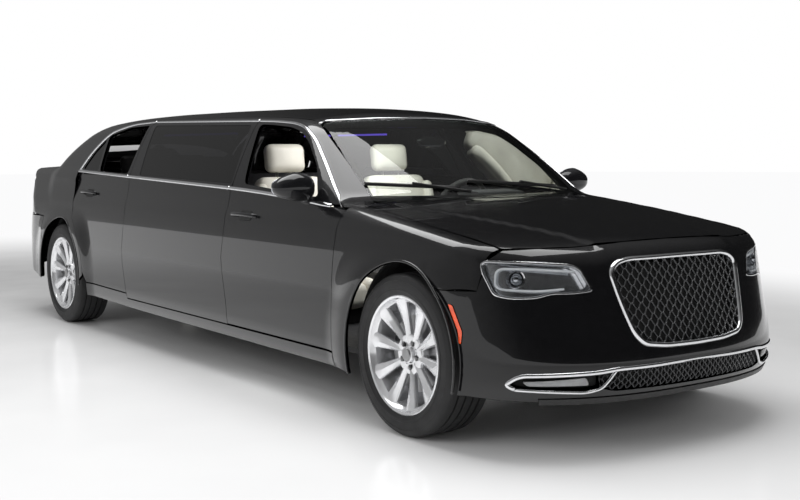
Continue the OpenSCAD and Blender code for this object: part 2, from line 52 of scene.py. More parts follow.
FRONT_AXLE = JOINTS["front_left_spin"]["pos_m"]
REAR_AXLE = JOINTS["rear_left_spin"]["pos_m"]
AXLE_Z = FRONT_AXLE[2]
WHEEL_Y = FRONT_AXLE[1]
AXLES_X = (FRONT_AXLE[0], REAR_AXLE[0])
TYRE_R = AXLE_Z
TYRE_HALF_W = 0.1225
RIM_R = 0.270
DISC_R = 0.172
ARCH_R = 0.408
ARCH_RISE = 0.006
DOOR_CUT_R = 0.475    # the rear door's edge round the wheel
ROOF_SEAM_Y = 0.600
FLARE_Y = 0.951
BELT_Y = 0.845
NOSE_X0, TAIL_X0, NOSE_HALF_W = 2.45, 2.55, 0.953
GAP = 0.0022          # half of a shut line
PITCH = 0.024         # spacing of a panel's inner points


# ---- Small helpers ------------------------------------------------------------------------

def smooth_table(points, spread):
    """A smooth function of one value that follows rough (key, value) points."""
    keys, values = np.array(points, float).T
    step = 0.004
    margin = 5 * spread + step
    grid = np.arange(keys[0] - margin, keys[-1] + margin, step)
    rough = np.interp(grid, keys, values)
    first = (values[1] - values[0]) / (keys[1] - keys[0])
    last = (values[-1] - values[-2]) / (keys[-1] - keys[-2])
    rough += first * np.minimum(grid - keys[0], 0) + last * np.maximum(grid - keys[-1], 0)
    reach = int(3 * spread / step)
    kernel = np.exp(-0.5 * (np.arange(-reach, reach + 1) * step / spread) ** 2)
    smoothed = np.convolve(np.pad(rough, reach, "edge"), kernel / kernel.sum(), "valid")
    return lambda v: np.interp(v, grid, smoothed)


def ease(t):
    """A smooth step from 0 to 1."""
    t = np.clip(t, 0, 1)
    return t * t * (3 - 2 * t)


def round_max(a, b, radius):
    """Two distance fields met in a rounded edge."""
    return np.minimum(-radius, np.maximum(a, b)) + np.hypot(
        np.maximum(a + radius, 0), np.maximum(b + radius, 0))


def round_min(a, b, radius):
    return -round_max(-a, -b, radius)


def unit(v):
    return v / np.maximum(np.linalg.norm(v, axis=-1, keepdims=True), 1e-9)


# ---- Body surfaces ------------------------------------------------------------------------

side_width = smooth_table([(0.15, 0.860), (0.20, 0.885), (0.26, 0.915), (0.34, 0.925),
                           (0.60, 0.920), (0.80, 0.908), (0.905, 0.898), (0.96, 0.876),
                           (1.03, 0.855), (1.11, 0.843), (1.25, 0.82)], 0.014)
nose_reach = smooth_table([(0.15, 3.02), (0.20, 3.07), (0.25, 3.11), (0.304, 3.140),
                           (0.40, 3.145), (0.48, 3.127), (0.55, 3.103), (0.65, 3.070),
                           (0.782, 3.030), (0.86, 3.000), (1.0, 2.95)], 0.018)
tail_reach = smooth_table([(0.15, 2.95), (0.25, 3.04), (0.36, 3.12), (0.48, 3.148),
                           (0.64, 3.143), (0.745, 3.115), (0.785, 3.070), (1.0, 3.055),
                           (1.09, 3.072), (1.16, 3.075), (1.25, 3.05)], 0.012)
top_height = smooth_table([(-3.15, 1.140), (-3.05, 1.152), (-2.90, 1.153), (-2.40, 1.160),
                           (-1.80, 1.160), (0.90, 1.160), (1.50, 1.090), (1.66, 1.042),
                           (1.90, 1.022), (2.30, 0.975), (2.70, 0.918), (2.90, 0.884),
                           (3.00, 0.858), (3.15, 0.80)], 0.045)
roof_height = smooth_table([(-2.70, 1.39), (-2.0, 1.497), (-1.6, 1.517), (-1.2, 1.524),
                            (-0.5, 1.5245), (0.3, 1.518), (0.7, 1.507), (1.0, 1.487),
                            (1.25, 1.454), (1.9, 1.36)], 0.08)


def belt_z(x):
    """Height of the line where the windows begin."""
    return 1.070 - 0.0275 * x - 0.025 * np.maximum(0, x - 0.5) ** 2


def side_y(x, z):
    """Half width of the lower body, with a flare round each wheel."""
    width = side_width(z)
    near = np.minimum(*[np.hypot(x - axle, z - AXLE_Z) for axle in AXLES_X])
    bump = ease((0.64 - near) / 0.20) * ease((0.86 - z) / 0.20)
    return width + np.maximum(0, FLARE_Y - width) * bump


def plan_field(y, along, reach, start, power):
    """Distance from a nose or tail that is a superellipse in plan."""
    length = reach - start
    u = np.maximum(along - start, 0) / length
    v = np.abs(y) / NOSE_HALF_W
    slope = np.hypot(2.2 * u ** 1.2 / length, power * v ** (power - 1) / NOSE_HALF_W)
    return (u ** 2.2 + v ** power - 1) / np.maximum(slope, 0.3) - 0.3 * np.maximum(start - along, 0)


def hood_crease(x, y):
    """A soft step of the hood's middle between its two long creases."""
    line = 0.655 - 0.25 * ease((x - 1.75) / 1.25)
    return 0.007 * ease((line + 0.018 - np.abs(y)) / 0.036) * ease((x - 1.7) / 0.2)


def top_z(x, y):
    spread = (np.abs(y) / 0.8) ** 2
    front = ease((x - 1.3) / 0.5)
    return top_height(x + 0.10 * spread * front) - 0.024 * spread + hood_crease(x, y) * front


def lower_field(x, y, z):
    side = np.abs(y) - side_y(x, z)
    nose = plan_field(y, x, nose_reach(z), NOSE_X0, 2.6)
    tail = plan_field(y, -x, tail_reach(z), TAIL_X0, 3.0)
    plan = round_max(round_max(side, nose, 0.04), tail, 0.04)
    return round_max(plan, z - top_z(x, y), 0.052)


def glass_y(x, z):
    rise = np.maximum(z - belt_z(x), -0.06)
    return BELT_Y - 0.42 * rise - 0.25 * rise * np.abs(rise)


def screen_x(y, z):
    t = (z - 1.05) / 0.383
    return 1.840 - 0.607 * t + 0.060 * t * (1 - t) - 0.42 * y * y


def backlight_x(y, z):
    t = (1.50 - z) / 0.335
    return -1.740 - 0.770 * t - 0.35 * t * (1 - t) + 0.28 * y * y


def roof_z(x, y):
    height = roof_height(x)
    return height - 0.075 * np.minimum(np.abs(y) / 0.665, 1.6) ** 2.4


def cabin_field(x, y, z):
    side = (np.abs(y) - glass_y(x, z)) / 1.12
    crown = round_max(side, z - roof_z(x, y), 0.045)
    screens = np.maximum((x - screen_x(y, z)) / 1.87, (backlight_x(y, z) - x) / 2.5)
    return round_max(crown, screens, 0.050)


def body_field(x, y, z):
    return round_min(lower_field(x, y, z), cabin_field(x, y, z), 0.035)


def wall_field(x, y, z):
    """The body's side with nothing of nose, tail or top, for sills and arches."""
    return np.abs(y) - side_y(x, z)


def normals_of(field, points, step=0.003):
    x, y, z = points.T
    return unit(np.stack([field(x + step, y, z) - field(x - step, y, z),
                          field(x, y + step, z) - field(x, y - step, z),
                          field(x, y, z + step) - field(x, y, z - step)], axis=1))


# ---- Views: flat maps of the surface, each with rays that find it ---------------------------

def flat_view(direction, across, up, start=-1.6):
    """Parallel rays; across and up are the map's axes."""
    d, e, u = (np.array(v, float) / np.linalg.norm(v) for v in (direction, across, up))

    def rays(flat):
        origin = flat[:, :1] * e + flat[:, 1:] * u + start * d
        return origin, np.broadcast_to(d, origin.shape)

    return {"rays": rays, "flat": lambda p: np.stack([p @ e, p @ u], axis=1)}


def round_view(centre_x, radius=0.8):
    """Rays towards an upright axis; the map is unrolled round it."""
    def rays(flat):
        angle = flat[:, 0] / radius
        out = np.stack([np.cos(angle), np.sin(angle), 0 * angle], axis=1)
        origin = 1.6 * out + np.stack([0 * angle + centre_x, 0 * angle, flat[:, 1]], axis=1)
        return origin, -out

    def flat(p):
        angle = np.arctan2(p[:, 1], p[:, 0] - centre_x)
        angle = np.where(angle < -0.5 * np.pi + 1e-9, angle + 2 * np.pi, angle) if centre_x < 0 else angle
        return np.stack([angle * radius, p[:, 2]], axis=1)

    return {"rays": rays, "flat": flat}


SIDE = flat_view((0, -1, 0), (1, 0, 0), (0, 0, 1))
TOP = flat_view((0, 0, -1), (1, 0, 0), (0, 1, 0), -2.2)
AHEAD = flat_view((-1, 0, 0), (0, 1, 0), (0, 0, 1), -3.6)
BEHIND = flat_view((1, 0, 0), (0, 1, 0), (0, 0, 1), -3.6)
SHOULDER = flat_view((0, -0.77, -0.64), (1, 0, 0), (0, -0.64, 0.77), -2.6)
NOSE = round_view(2.20)
TAIL = round_view(-2.20)
TAIL_MIDDLE = 0.8 * math.pi     # the car's centre line on the tail's unrolled map


def hit(view, flat, field, depth=0.0):
    """Where the rays of flat points meet a surface, its normals there, inset by depth."""
    flat = np.asarray(flat, float)
    origin, d = view["rays"](flat)
    low = np.zeros(len(flat))
    high = np.full(len(flat), np.nan)
    step, ray_length = 0.02, 3.4
    steps = np.arange(0, ray_length, step)
    for t in steps:
        inside = field(*(origin + t * d).T) < 0
        fresh = inside & np.isnan(high)
        high[fresh] = t
        low[fresh] = t - step
        if not np.isnan(high).any():
            break
    high = np.where(np.isnan(high), steps[-1], high)
    for _ in range(18):
        middle = (low + high) / 2
        inside = field(*(origin + middle[:, None] * d).T) < 0
        high = np.where(inside, middle, high)
        low = np.where(inside, low, middle)
    points = origin + high[:, None] * d
    normals = normals_of(field, points)
    return points - depth * normals, normals


# ---- Outlines -----------------------------------------------------------------------------

def resample(points, pitch, closed=True):
    """Points no further apart than pitch along an outline, its corners kept."""
    points = np.asarray(points, float)
    ends = np.roll(points, -1, axis=0) if closed else points[1:]
    starts = points if closed else points[:-1]
    out = []
    for a, b in zip(starts, ends):
        n = max(1, math.ceil(np.linalg.norm(b - a) / pitch))
        out += [a + (b - a) * i / n for i in range(n)]
    if not closed:
        out.append(points[-1])
    return np.array(out)


def rounded(points, radius, closed=True, count=5):
    """An outline with its corners rounded; radius may be a number or one for each point."""
    points = np.asarray(points, float)
    radii = np.broadcast_to(radius, len(points))
    out = []
    for i, corner in enumerate(points):
        if not closed and i in (0, len(points) - 1) or radii[i] <= 0:
            out.append(corner)
            continue
        a, b = points[i - 1] - corner, points[(i + 1) % len(points)] - corner
        reach = min(radii[i], 0.45 * np.linalg.norm(a), 0.45 * np.linalg.norm(b))
        p, q = corner + unit(a) * reach, corner + unit(b) * reach
        out += [(1 - t) ** 2 * p + 2 * t * (1 - t) * corner + t * t * q
                for t in np.linspace(0, 1, count)]
    return np.array(out)


def shrink(points, distance):
    """A closed outline moved inwards (outwards if it runs clockwise)."""
    before = unit(points - np.roll(points, 1, axis=0))
    after = unit(np.roll(points, -1, axis=0) - points)
    normal = np.stack([-(before + after)[:, 1], (before + after)[:, 0]], axis=1)
    normal = unit(normal)
    slant = np.clip(np.abs((normal * np.stack([-after[:, 1], after[:, 0]], axis=1)).sum(1)), 0.4, 1)
    return points + normal * (distance / slant)[:, None]


def area(points):
    """Signed: positive when the outline runs anticlockwise."""
    x, y = points.T
    return 0.5 * float(np.sum(x * np.roll(y, -1) - np.roll(x, -1) * y))


def wound(points, counter=True):
    return points if (area(points) > 0) == counter else points[::-1]


def inside_mask(points, loops):
    """Which points lie in the outlines, by the even-odd rule."""
    px, py = points.T
    odd = np.zeros(len(points), bool)
    for loop in loops:
        a, b = loop, np.roll(loop, -1, axis=0)
        for (x0, y0), (x1, y1) in zip(a, b):
            if y0 != y1:
                crosses = ((y0 > py) != (y1 > py))
                odd ^= crosses & (px < x0 + (py - y0) * (x1 - x0) / (y1 - y0))
    return odd


# ---- Mesh makers --------------------------------------------------------------------------

def finish_piece(name, mesh, body, material):
    """Links a piece, dresses it, and names its body."""
    piece = bpy.data.objects.new(name, mesh)
    bpy.context.scene.collection.objects.link(piece)
    mesh.materials.append(M[material])
    mesh.shade_smooth()
    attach(piece, body)
    return piece


def mesh_piece(name, verts, faces, body, material, normals=None):
    mesh = bpy.data.meshes.new(name)
    mesh.from_pydata([tuple(v) for v in verts], [], [tuple(f) for f in faces])
    mesh.update()
    piece = finish_piece(name, mesh, body, material)
    if normals is not None:
        mesh.normals_split_custom_set_from_vertices([tuple(n) for n in normals])
    return piece


def side_names(name, mirror):
    """A piece's name on the left side, or on the right side's mirror image."""
    return ("right_" if mirror else "left_") + name


def mirrored(points, mirror):
    return points * np.array([1, -1, 1]) if mirror else points


def panel(name, outline, view, field, material, body, holes=(), gap=GAP, pitch=PITCH, depth=0.0,
          flange=0.016, mirror=False, inside=False):
    """A skin over the part of a surface inside an outline, with rolled edges and flanges."""
    loops = [shrink(resample(wound(np.asarray(outline, float)), pitch * 0.8), gap)]
    loops += [shrink(resample(wound(np.asarray(h, float), False), pitch * 0.8), gap) for h in holes]
    low, high = loops[0].min(0), loops[0].max(0)
    rows = np.arange(low[1] + pitch / 2, high[1], pitch * 0.87)
    grid = np.array([(x + (i % 2) * pitch / 2, y) for i, y in enumerate(rows)
                     for x in np.arange(low[0] + pitch / 4, high[0], pitch)])
    if len(grid):
        grid = grid[inside_mask(grid, loops)]
    rim = np.concatenate(loops)
    if len(grid):
        far = np.array([np.min(np.sum((rim - p) ** 2, axis=1)) for p in grid]) > (0.45 * pitch) ** 2
        grid = grid[far]
    flat = np.concatenate([rim, grid]) if len(grid) else rim
    edges, start = [], 0
    for loop in loops:
        n = len(loop)
        edges += [(start + i, start + (i + 1) % n) for i in range(n)]
        start += n
    made = delaunay_2d_cdt([Vector(p) for p in flat], edges, [], 0, 1e-7)
    flat = np.array([tuple(v) for v in made[0]])
    faces = np.array([f for f in made[2] if len(f) == 3])
    faces = faces[inside_mask(flat[faces].mean(axis=1), loops)]
    points, normals = hit(view, flat, field, depth)
    a, b, c = (points[faces[:, i]] for i in range(3))
    facing = np.sign(np.sum(np.cross(b - a, c - a) * normals[faces[:, 0]]))
    if facing < 0:
        faces = faces[:, ::-1]
    verts, all_normals, quads = [points], [normals], []
    origin = {}
    for new, olds in enumerate(made[3]):
        for old in olds:
            origin[old] = new
    count, start = len(points), 0
    for loop in loops:
        n = len(loop)
        ring = np.array([origin[start + i] for i in range(n)])
        start += n
        p, q = points[ring], normals[ring]
        along = unit(np.roll(p, -1, axis=0) - np.roll(p, 1, axis=0))
        out = unit(np.cross(along, q)) * facing
        roll = 0.0016
        layers = [(p + out * roll * 0.75 - q * roll * 0.3, unit(out + q)),
                  (p + out * roll - q * roll, out), (p + out * roll - q * flange, out)]
        previous = ring
        for layer, normal in layers:
            current = np.arange(count, count + n)
            verts.append(layer)
            all_normals.append(normal)
            count += n
            for i in range(n):
                j = (i + 1) % n
                quad = (previous[i], previous[j], current[j], current[i])
                quads.append(quad if facing < 0 else quad[::-1])
            previous = current
    verts = mirrored(np.concatenate(verts), mirror)
    all_normals = mirrored(np.concatenate(all_normals), mirror)
    faces = [tuple(f) for f in faces] + [q[::-1] for q in quads]
    if inside:
        all_normals = -all_normals
    if mirror != inside:
        faces = [f[::-1] for f in faces]
    return mesh_piece(name, verts, faces, body, material, all_normals)


def sweep(name, path, normals, profile, material, body, closed=False, mirror=False):
    """A moulding: a profile of (across, out) points carried along a path on a surface."""
    path, normals = np.asarray(path), unit(np.asarray(normals))
    if closed:
        along = unit(np.roll(path, -1, axis=0) - np.roll(path, 1, axis=0))
    else:
        along = unit(np.gradient(path, axis=0))
    across = unit(np.cross(along, normals))
    profile = np.asarray(profile, float)
    n, m = len(path), len(profile)
    verts = (path[:, None] + across[:, None] * profile[None, :, :1]
             + normals[:, None] * profile[None, :, 1:]).reshape(-1, 3)
    faces = []
    for i in range(n if closed else n - 1):
        for j in range(m):
            a, b = i * m + j, i * m + (j + 1) % m
            c, d = (i + 1) % n * m + (j + 1) % m, (i + 1) % n * m + j
            faces.append((a, d, c, b))
    if not closed:
        faces += [tuple(range(m)), tuple((n - 1) * m + j for j in reversed(range(m)))]
    verts = mirrored(verts, mirror)
    if mirror:
        faces = [f[::-1] for f in faces]
    piece = mesh_piece(name, verts, faces, body, material)
    recalc(piece)
    return piece


def recalc(piece, merge=0.0, sharp=None):
    """Turns the faces outwards, after merging points; edges sharper than an angle stay sharp."""
    mesh = piece.data
    work = bmesh.new()
    work.from_mesh(mesh)
    if merge:
        bmesh.ops.remove_doubles(work, verts=work.verts, dist=merge)
    bmesh.ops.recalc_face_normals(work, faces=work.faces)
    work.to_mesh(mesh)
    work.free()
    mesh.update()
    if sharp:
        mesh.set_sharp_from_angle(angle=math.radians(sharp))


def half_round(width, height, sink=0.004, count=9):
    """A moulding's profile: a low dome with a foot sunk into the surface."""
    angles = np.linspace(0, np.pi, count)
    dome = [(width / 2 * math.cos(a), height * math.sin(a) ** 0.7) for a in angles]
    return [(width / 2, -sink)] + dome + [(-width / 2, -sink)]


# ---- Materials ----------------------------------------------------------------------------

def new_material(name):
    material = bpy.data.materials.new(name)
    material.use_nodes = True
    tree = material.node_tree
    tree.nodes.clear()
    return material, tree.nodes, tree.links


def noise(nodes, links, scale, detail=3.0, stretch=(1, 1, 1)):
    place = nodes.new("ShaderNodeTexCoord")
    mapping = nodes.new("ShaderNodeMapping")
    mapping.inputs["Scale"].default_value = stretch
    texture = nodes.new("ShaderNodeTexNoise")
    texture.inputs["Scale"].default_value = scale
    texture.inputs["Detail"].default_value = detail
    links.new(place.outputs["Object"], mapping.inputs["Vector"])
    links.new(mapping.outputs["Vector"], texture.inputs["Vector"])
    return texture, mapping


def between(nodes, links, value, low, high):
    ramp = nodes.new("ShaderNodeMapRange")
    ramp.inputs["From Min"].default_value = 0.3
    ramp.inputs["From Max"].default_value = 0.7
    ramp.inputs["To Min"].default_value = low
    ramp.inputs["To Max"].default_value = high
    links.new(value, ramp.inputs["Value"])
    return ramp.outputs["Result"]


def blend_colours(nodes, links, value, first, second):
    mix = nodes.new("ShaderNodeMix")
    mix.data_type = "RGBA"
    mix.inputs["A"].default_value = (*first, 1)
    mix.inputs["B"].default_value = (*second, 1)
    links.new(value, mix.inputs["Factor"])
    return mix.outputs["Result"]


def surface(name, colour, rough, metal=0.0, vary=0.12, scale=30.0, bump=0.0, grain=900.0, coat=0.0,
            pattern="noise", sheen=0.0, glow=None):
    """A solid finish: its colour and roughness drift, and a fine grain stands in relief."""
    material, nodes, links = new_material(name)
    out = nodes.new("ShaderNodeOutputMaterial")
    shader = nodes.new("ShaderNodeBsdfPrincipled")
    shader.inputs["Metallic"].default_value = metal
    shader.inputs["Coat Weight"].default_value = coat
    shader.inputs["Coat Roughness"].default_value = 0.02
    shader.inputs["Sheen Weight"].default_value = sheen
    drift, mapping = noise(nodes, links, scale)
    tones = [tuple(min(1.0, c * (1 + s * vary)) for c in colour) for s in (-1, 1)]
    value = between(nodes, links, drift.outputs["Fac"], 0.0, 1.0)
    links.new(blend_colours(nodes, links, value, *tones), shader.inputs["Base Color"])
    links.new(between(nodes, links, drift.outputs["Fac"], rough * 0.85, rough * 1.15),
              shader.inputs["Roughness"])
    if bump:
        if pattern == "leather":
            relief = nodes.new("ShaderNodeTexVoronoi")
            relief.feature = "DISTANCE_TO_EDGE"
            relief.inputs["Scale"].default_value = grain
            links.new(mapping.outputs["Vector"], relief.inputs["Vector"])
            height = relief.outputs["Distance"]
        else:
            relief, _ = noise(nodes, links, grain, 2.0)
            height = relief.outputs["Fac"]
        bumps = nodes.new("ShaderNodeBump")
        bumps.inputs["Strength"].default_value = bump
        bumps.inputs["Distance"].default_value = 0.0006
        links.new(height, bumps.inputs["Height"])
        links.new(bumps.outputs["Normal"], shader.inputs["Normal"])
    if glow:
        shader.inputs["Emission Color"].default_value = (*glow[0], 1)
        shader.inputs["Emission Strength"].default_value = glow[1]
    links.new(shader.outputs["BSDF"], out.inputs["Surface"])
    return material


def pane(name, tint, gloss=1.0, vary=0.1):
    """Thin glass: a tint to look through under a mirror that grows towards the edges."""
    material, nodes, links = new_material(name)
    out = nodes.new("ShaderNodeOutputMaterial")
    mix = nodes.new("ShaderNodeMixShader")
    fresnel = nodes.new("ShaderNodeFresnel")
    fresnel.inputs["IOR"].default_value = 1.5
    clear = nodes.new("ShaderNodeBsdfTransparent")
    shine = nodes.new("ShaderNodeBsdfAnisotropic")
    drift, _ = noise(nodes, links, 3.0)
    tones = [tuple(min(1.0, c * (1 + s * vary)) for c in tint) for s in (-1, 1)]
    links.new(blend_colours(nodes, links, drift.outputs["Fac"], *tones), clear.inputs["Color"])
    links.new(between(nodes, links, drift.outputs["Fac"], 0.01, 0.02), shine.inputs["Roughness"])
    shine.inputs["Color"].default_value = (gloss, gloss, gloss, 1)
    links.new(fresnel.outputs["Fac"], mix.inputs["Fac"])
    links.new(clear.outputs["BSDF"], mix.inputs[1])
    links.new(shine.outputs["BSDF"], mix.inputs[2])
    links.new(mix.outputs["Shader"], out.inputs["Surface"])
    return material


# The finishes by name; the record's material slots use the same names
M = {
    "paint": surface("paint", (0.0045, 0.0045, 0.005), 0.22, coat=1.0, bump=0.02, grain=120.0),
    "underbody": surface("underbody", (0.035, 0.035, 0.036), 0.6, vary=0.3, bump=0.6, grain=260.0),
    "liner": surface("liner", (0.010, 0.010, 0.010), 0.75, vary=0.3, bump=0.5, grain=500.0),
    "exhaust_steel": surface("exhaust_steel", (0.42, 0.41, 0.39), 0.28, metal=1.0, vary=0.2, bump=0.1),
    "bright_trim": surface("bright_trim", (0.78, 0.785, 0.80), 0.12, metal=1.0, vary=0.04, bump=0.01),
    "black_plastic": surface("black_plastic", (0.012, 0.012, 0.012), 0.42, bump=0.35, grain=1400.0),
    "trim_black": surface("trim_black", (0.006, 0.006, 0.0065), 0.12, coat=0.6, bump=0.02, grain=150.0),
    "mesh_black": surface("mesh_black", (0.035, 0.036, 0.038), 0.22, coat=0.5, metal=0.3, bump=0.05),
    "dash": surface("dash", (0.018, 0.018, 0.020), 0.55, bump=0.6, grain=700.0, pattern="leather"),
    "gloss_black": surface("gloss_black", (0.008, 0.008, 0.009), 0.10, coat=0.8, bump=0.02),
    "cream_leather": surface("cream_leather", (0.60, 0.575, 0.51), 0.46, vary=0.07, scale=9.0, bump=0.5,
                             grain=420.0, pattern="leather"),
    "black_leather": surface("black_leather", (0.022, 0.021, 0.021), 0.42, vary=0.2, bump=0.55,
                             grain=420.0, pattern="leather"),
    "tyre": surface("tyre", (0.012, 0.012, 0.0125), 0.62, vary=0.2, scale=14.0, bump=0.45, grain=800.0),
    "bright_wheel": surface("bright_wheel", (0.80, 0.805, 0.82), 0.16, metal=0.72, vary=0.05, bump=0.01),
    "brushed": surface("brushed", (0.35, 0.35, 0.355), 0.32, metal=1.0, vary=0.15, bump=0.2, grain=300.0),
    "lamp_bright": surface("lamp_bright", (0.84, 0.85, 0.87), 0.12, metal=0.92, vary=0.12, scale=60.0),
    "lamp_white": surface("lamp_white", (0.80, 0.82, 0.84), 0.25, vary=0.04, bump=0.2, grain=220.0,
                          glow=((0.9, 0.95, 1.0), 0.12)),
    "lamp_red": surface("lamp_red", (0.17, 0.003, 0.003), 0.12, coat=1.0, vary=0.2, bump=0.4, grain=160.0),
    "marker_red": surface("marker_red", (0.75, 0.075, 0.012), 0.15, coat=1.0, vary=0.15, bump=0.4,
                          grain=200.0),
    "mirror_glass": surface("mirror_glass", (0.55, 0.57, 0.60), 0.03, metal=1.0, vary=0.03),
    "violet_light": surface("violet_light", (0.12, 0.08, 0.5), 0.4, vary=0.1,
                            glow=((0.20, 0.12, 1.0), 0.5)),
    "lamp_clear": pane("lamp_clear", (0.93, 0.94, 0.95)),
    "clear_glass": pane("clear_glass", (0.80, 0.86, 0.82)),
    "dark_glass": pane("dark_glass", (0.018, 0.018, 0.020), 0.9, 0.15),
    "smoke_glass": pane("smoke_glass", (0.10, 0.10, 0.11), 0.9, 0.15),
}


# ---- Stage, light and camera --------------------------------------------------------------

scene = bpy.context.scene
scene.view_settings.view_transform = "Standard"


# Under their clear coat the black finishes hardly shine
for coated in ("paint", "trim_black", "gloss_black"):
    for node in M[coated].node_tree.nodes:
        if node.type == "BSDF_PRINCIPLED":
            node.inputs["Specular IOR Level"].default_value = 0.08


def make_camera():
    yaw, pitch, roll = (math.radians(a) for a in (144.4947, -4.9298, -0.1778))
    ahead = Vector((math.cos(pitch) * math.cos(yaw), math.cos(pitch) * math.sin(yaw), math.sin(pitch)))
    right = ahead.cross(Vector((0, 0, 1))).normalized()
    up = right.cross(ahead)
    across = right * math.cos(roll) + up * math.sin(roll)
    upright = across.cross(ahead)
    data = bpy.data.cameras.new("camera")
    data.lens, data.sensor_width, data.clip_end = 52.134, 36.0, 200.0
    camera = bpy.data.objects.new("camera", data)
    turn = Matrix((across, upright, -ahead)).transposed()
    camera.matrix_world = Matrix.Translation((6.3631, -3.8458, 1.2626)) @ turn.to_4x4()
    scene.collection.objects.link(camera)
    scene.camera = camera


def make_world():
    """White wherever it is looked at; mirrors see it bright on the near side, dim on the far side."""
    world = bpy.data.worlds.new("studio")
    world.use_nodes = True
    nodes, links = world.node_tree.nodes, world.node_tree.links
    nodes.clear()
    out = nodes.new("ShaderNodeOutputWorld")
    place = nodes.new("ShaderNodeTexCoord")
    path = nodes.new("ShaderNodeLightPath")

    def maths(operation, *values):
        node = nodes.new("ShaderNodeMath")
        node.operation = operation
        for socket, value in zip(node.inputs, values):
            if isinstance(value, (int, float)):
                socket.default_value = value
            else:
                links.new(value, socket)
        return node.outputs[0]

    split = nodes.new("ShaderNodeSeparateXYZ")
    links.new(place.outputs["Generated"], split.inputs[0])
    x, y, z = split.outputs
    # Bright cards: towards -Y and a little behind the car
    toward = maths("ADD", maths("MULTIPLY", y, -0.80), maths("MULTIPLY", x, -0.60))
    ramp = nodes.new("ShaderNodeMapRange")
    ramp.interpolation_type = "SMOOTHSTEP"
    for key, value in (("From Min", 0.0), ("From Max", 0.95), ("To Min", 0.012), ("To Max", 0.30)):
        ramp.inputs[key].default_value = value
    links.new(toward, ramp.inputs["Value"])
    above = nodes.new("ShaderNodeMapRange")
    above.interpolation_type = "SMOOTHSTEP"
    for key, value in (("From Min", 0.35), ("From Max", 0.95), ("To Min", 0.0), ("To Max", 0.22)):
        above.inputs[key].default_value = value
    links.new(z, above.inputs["Value"])
    mirrored_light = maths("ADD", ramp.outputs[0], above.outputs[0])
    seen = maths("MINIMUM", maths("ADD", path.outputs["Is Camera Ray"],
                                  path.outputs["Is Transmission Ray"]), 1.0)
    glossy = maths("MULTIPLY", path.outputs["Is Glossy Ray"], mirrored_light)
    plain = maths("MULTIPLY", maths("SUBTRACT", 1.0, maths("MINIMUM", maths(
        "ADD", seen, path.outputs["Is Glossy Ray"]), 1.0)), 0.62)
    strength = maths("ADD", maths("MAXIMUM", seen, glossy), plain)
    back = nodes.new("ShaderNodeBackground")
    back.inputs["Color"].default_value = (1, 1, 1, 1)
    links.new(strength, back.inputs["Strength"])
    links.new(back.outputs[0], out.inputs["Surface"])
    scene.world = world


def make_floor():
    """A pale, lightly polished floor that fades into the white backdrop."""
    material, nodes, links = new_material("studio_floor")
    out = nodes.new("ShaderNodeOutputMaterial")
    shader = nodes.new("ShaderNodeBsdfPrincipled")
    tone, _ = noise(nodes, links, 1.2)
    links.new(blend_colours(nodes, links, tone.outputs["Fac"], (0.80, 0.80, 0.805), (0.84, 0.84, 0.84)),
              shader.inputs["Base Color"])
    links.new(between(nodes, links, tone.outputs["Fac"], 0.13, 0.20), shader.inputs["Roughness"])
    place = nodes.new("ShaderNodeTexCoord")
    squeeze = nodes.new("ShaderNodeVectorMath")
    squeeze.operation = "MULTIPLY"
    squeeze.inputs[1].default_value = (0.55, 1.0, 1.0)
    links.new(place.outputs["Object"], squeeze.inputs[0])
    length = nodes.new("ShaderNodeVectorMath")
    length.operation = "LENGTH"
    links.new(squeeze.outputs[0], length.inputs[0])
    fade = nodes.new("ShaderNodeMapRange")
    fade.interpolation_type = "SMOOTHSTEP"
    fade.inputs["From Min"].default_value = 2.6
    fade.inputs["From Max"].default_value = 6.5
    links.new(length.outputs["Value"], fade.inputs["Value"])
    white = nodes.new("ShaderNodeEmission")
    white.inputs["Color"].default_value = (0.965, 0.965, 0.97, 1)
    mix = nodes.new("ShaderNodeMixShader")
    links.new(fade.outputs[0], mix.inputs["Fac"])
    links.new(shader.outputs["BSDF"], mix.inputs[1])
    links.new(white.outputs["Emission"], mix.inputs[2])
    links.new(mix.outputs["Shader"], out.inputs["Surface"])
    mesh = bpy.data.meshes.new("studio_floor")
    ring = [(60 * math.cos(a), 60 * math.sin(a), 0.0) for a in np.linspace(0, 2 * np.pi, 64, endpoint=False)]
    mesh.from_pydata(ring, [], [tuple(range(64))])
    mesh.materials.append(material)
    floor = bpy.data.objects.new("studio_floor", mesh)
    scene.collection.objects.link(floor)


def softbox(name, place, aim, size, power, mirrored_too=True):
    """An area lamp; some are left out of mirror images."""
    data = bpy.data.lights.new(name, "AREA")
    data.shape = "RECTANGLE"
    data.size, data.size_y, data.energy = size[0], size[1], power
    lamp = bpy.data.objects.new(name, data)
    lamp.location = place
    lamp.visible_glossy = mirrored_too
    lamp.rotation_euler = (Vector(aim) - Vector(place)).to_track_quat("-Z", "Y").to_euler()
    scene.collection.objects.link(lamp)


make_camera()
make_world()
make_floor()
softbox("overhead", (0.5, -0.5, 5.2), (0.3, 0, 0), (7.5, 3.2), 330)
softbox("near_side", (1.5, -6.5, 3.2), (0.3, 0, 0.5), (6.0, 2.0), 150, False)
softbox("front_fill", (7.5, -0.5, 2.6), (2.5, 0, 0.5), (1.6, 1.2), 30, False)
softbox("cabin", (0.95, 0, 1.36), (0.75, 0, 0.4), (0.9, 1.0), 14, False)


# ---- Body outlines ------------------------------------------------------------------------

def spot(x, z, field=lower_field, view=None):
    """The left-hand surface point at each (x, z) of the side view."""
    return hit(view or SIDE, np.column_stack(np.broadcast_arrays(x, z)), field)[0]


def along(table, z0, z1, count=9):
    """(x, z) points of a shut line that is tabled as (z, x)."""
    table = sorted(table)
    z = np.linspace(z0, z1, count)
    return np.column_stack([np.interp(z, *zip(*table)), z])


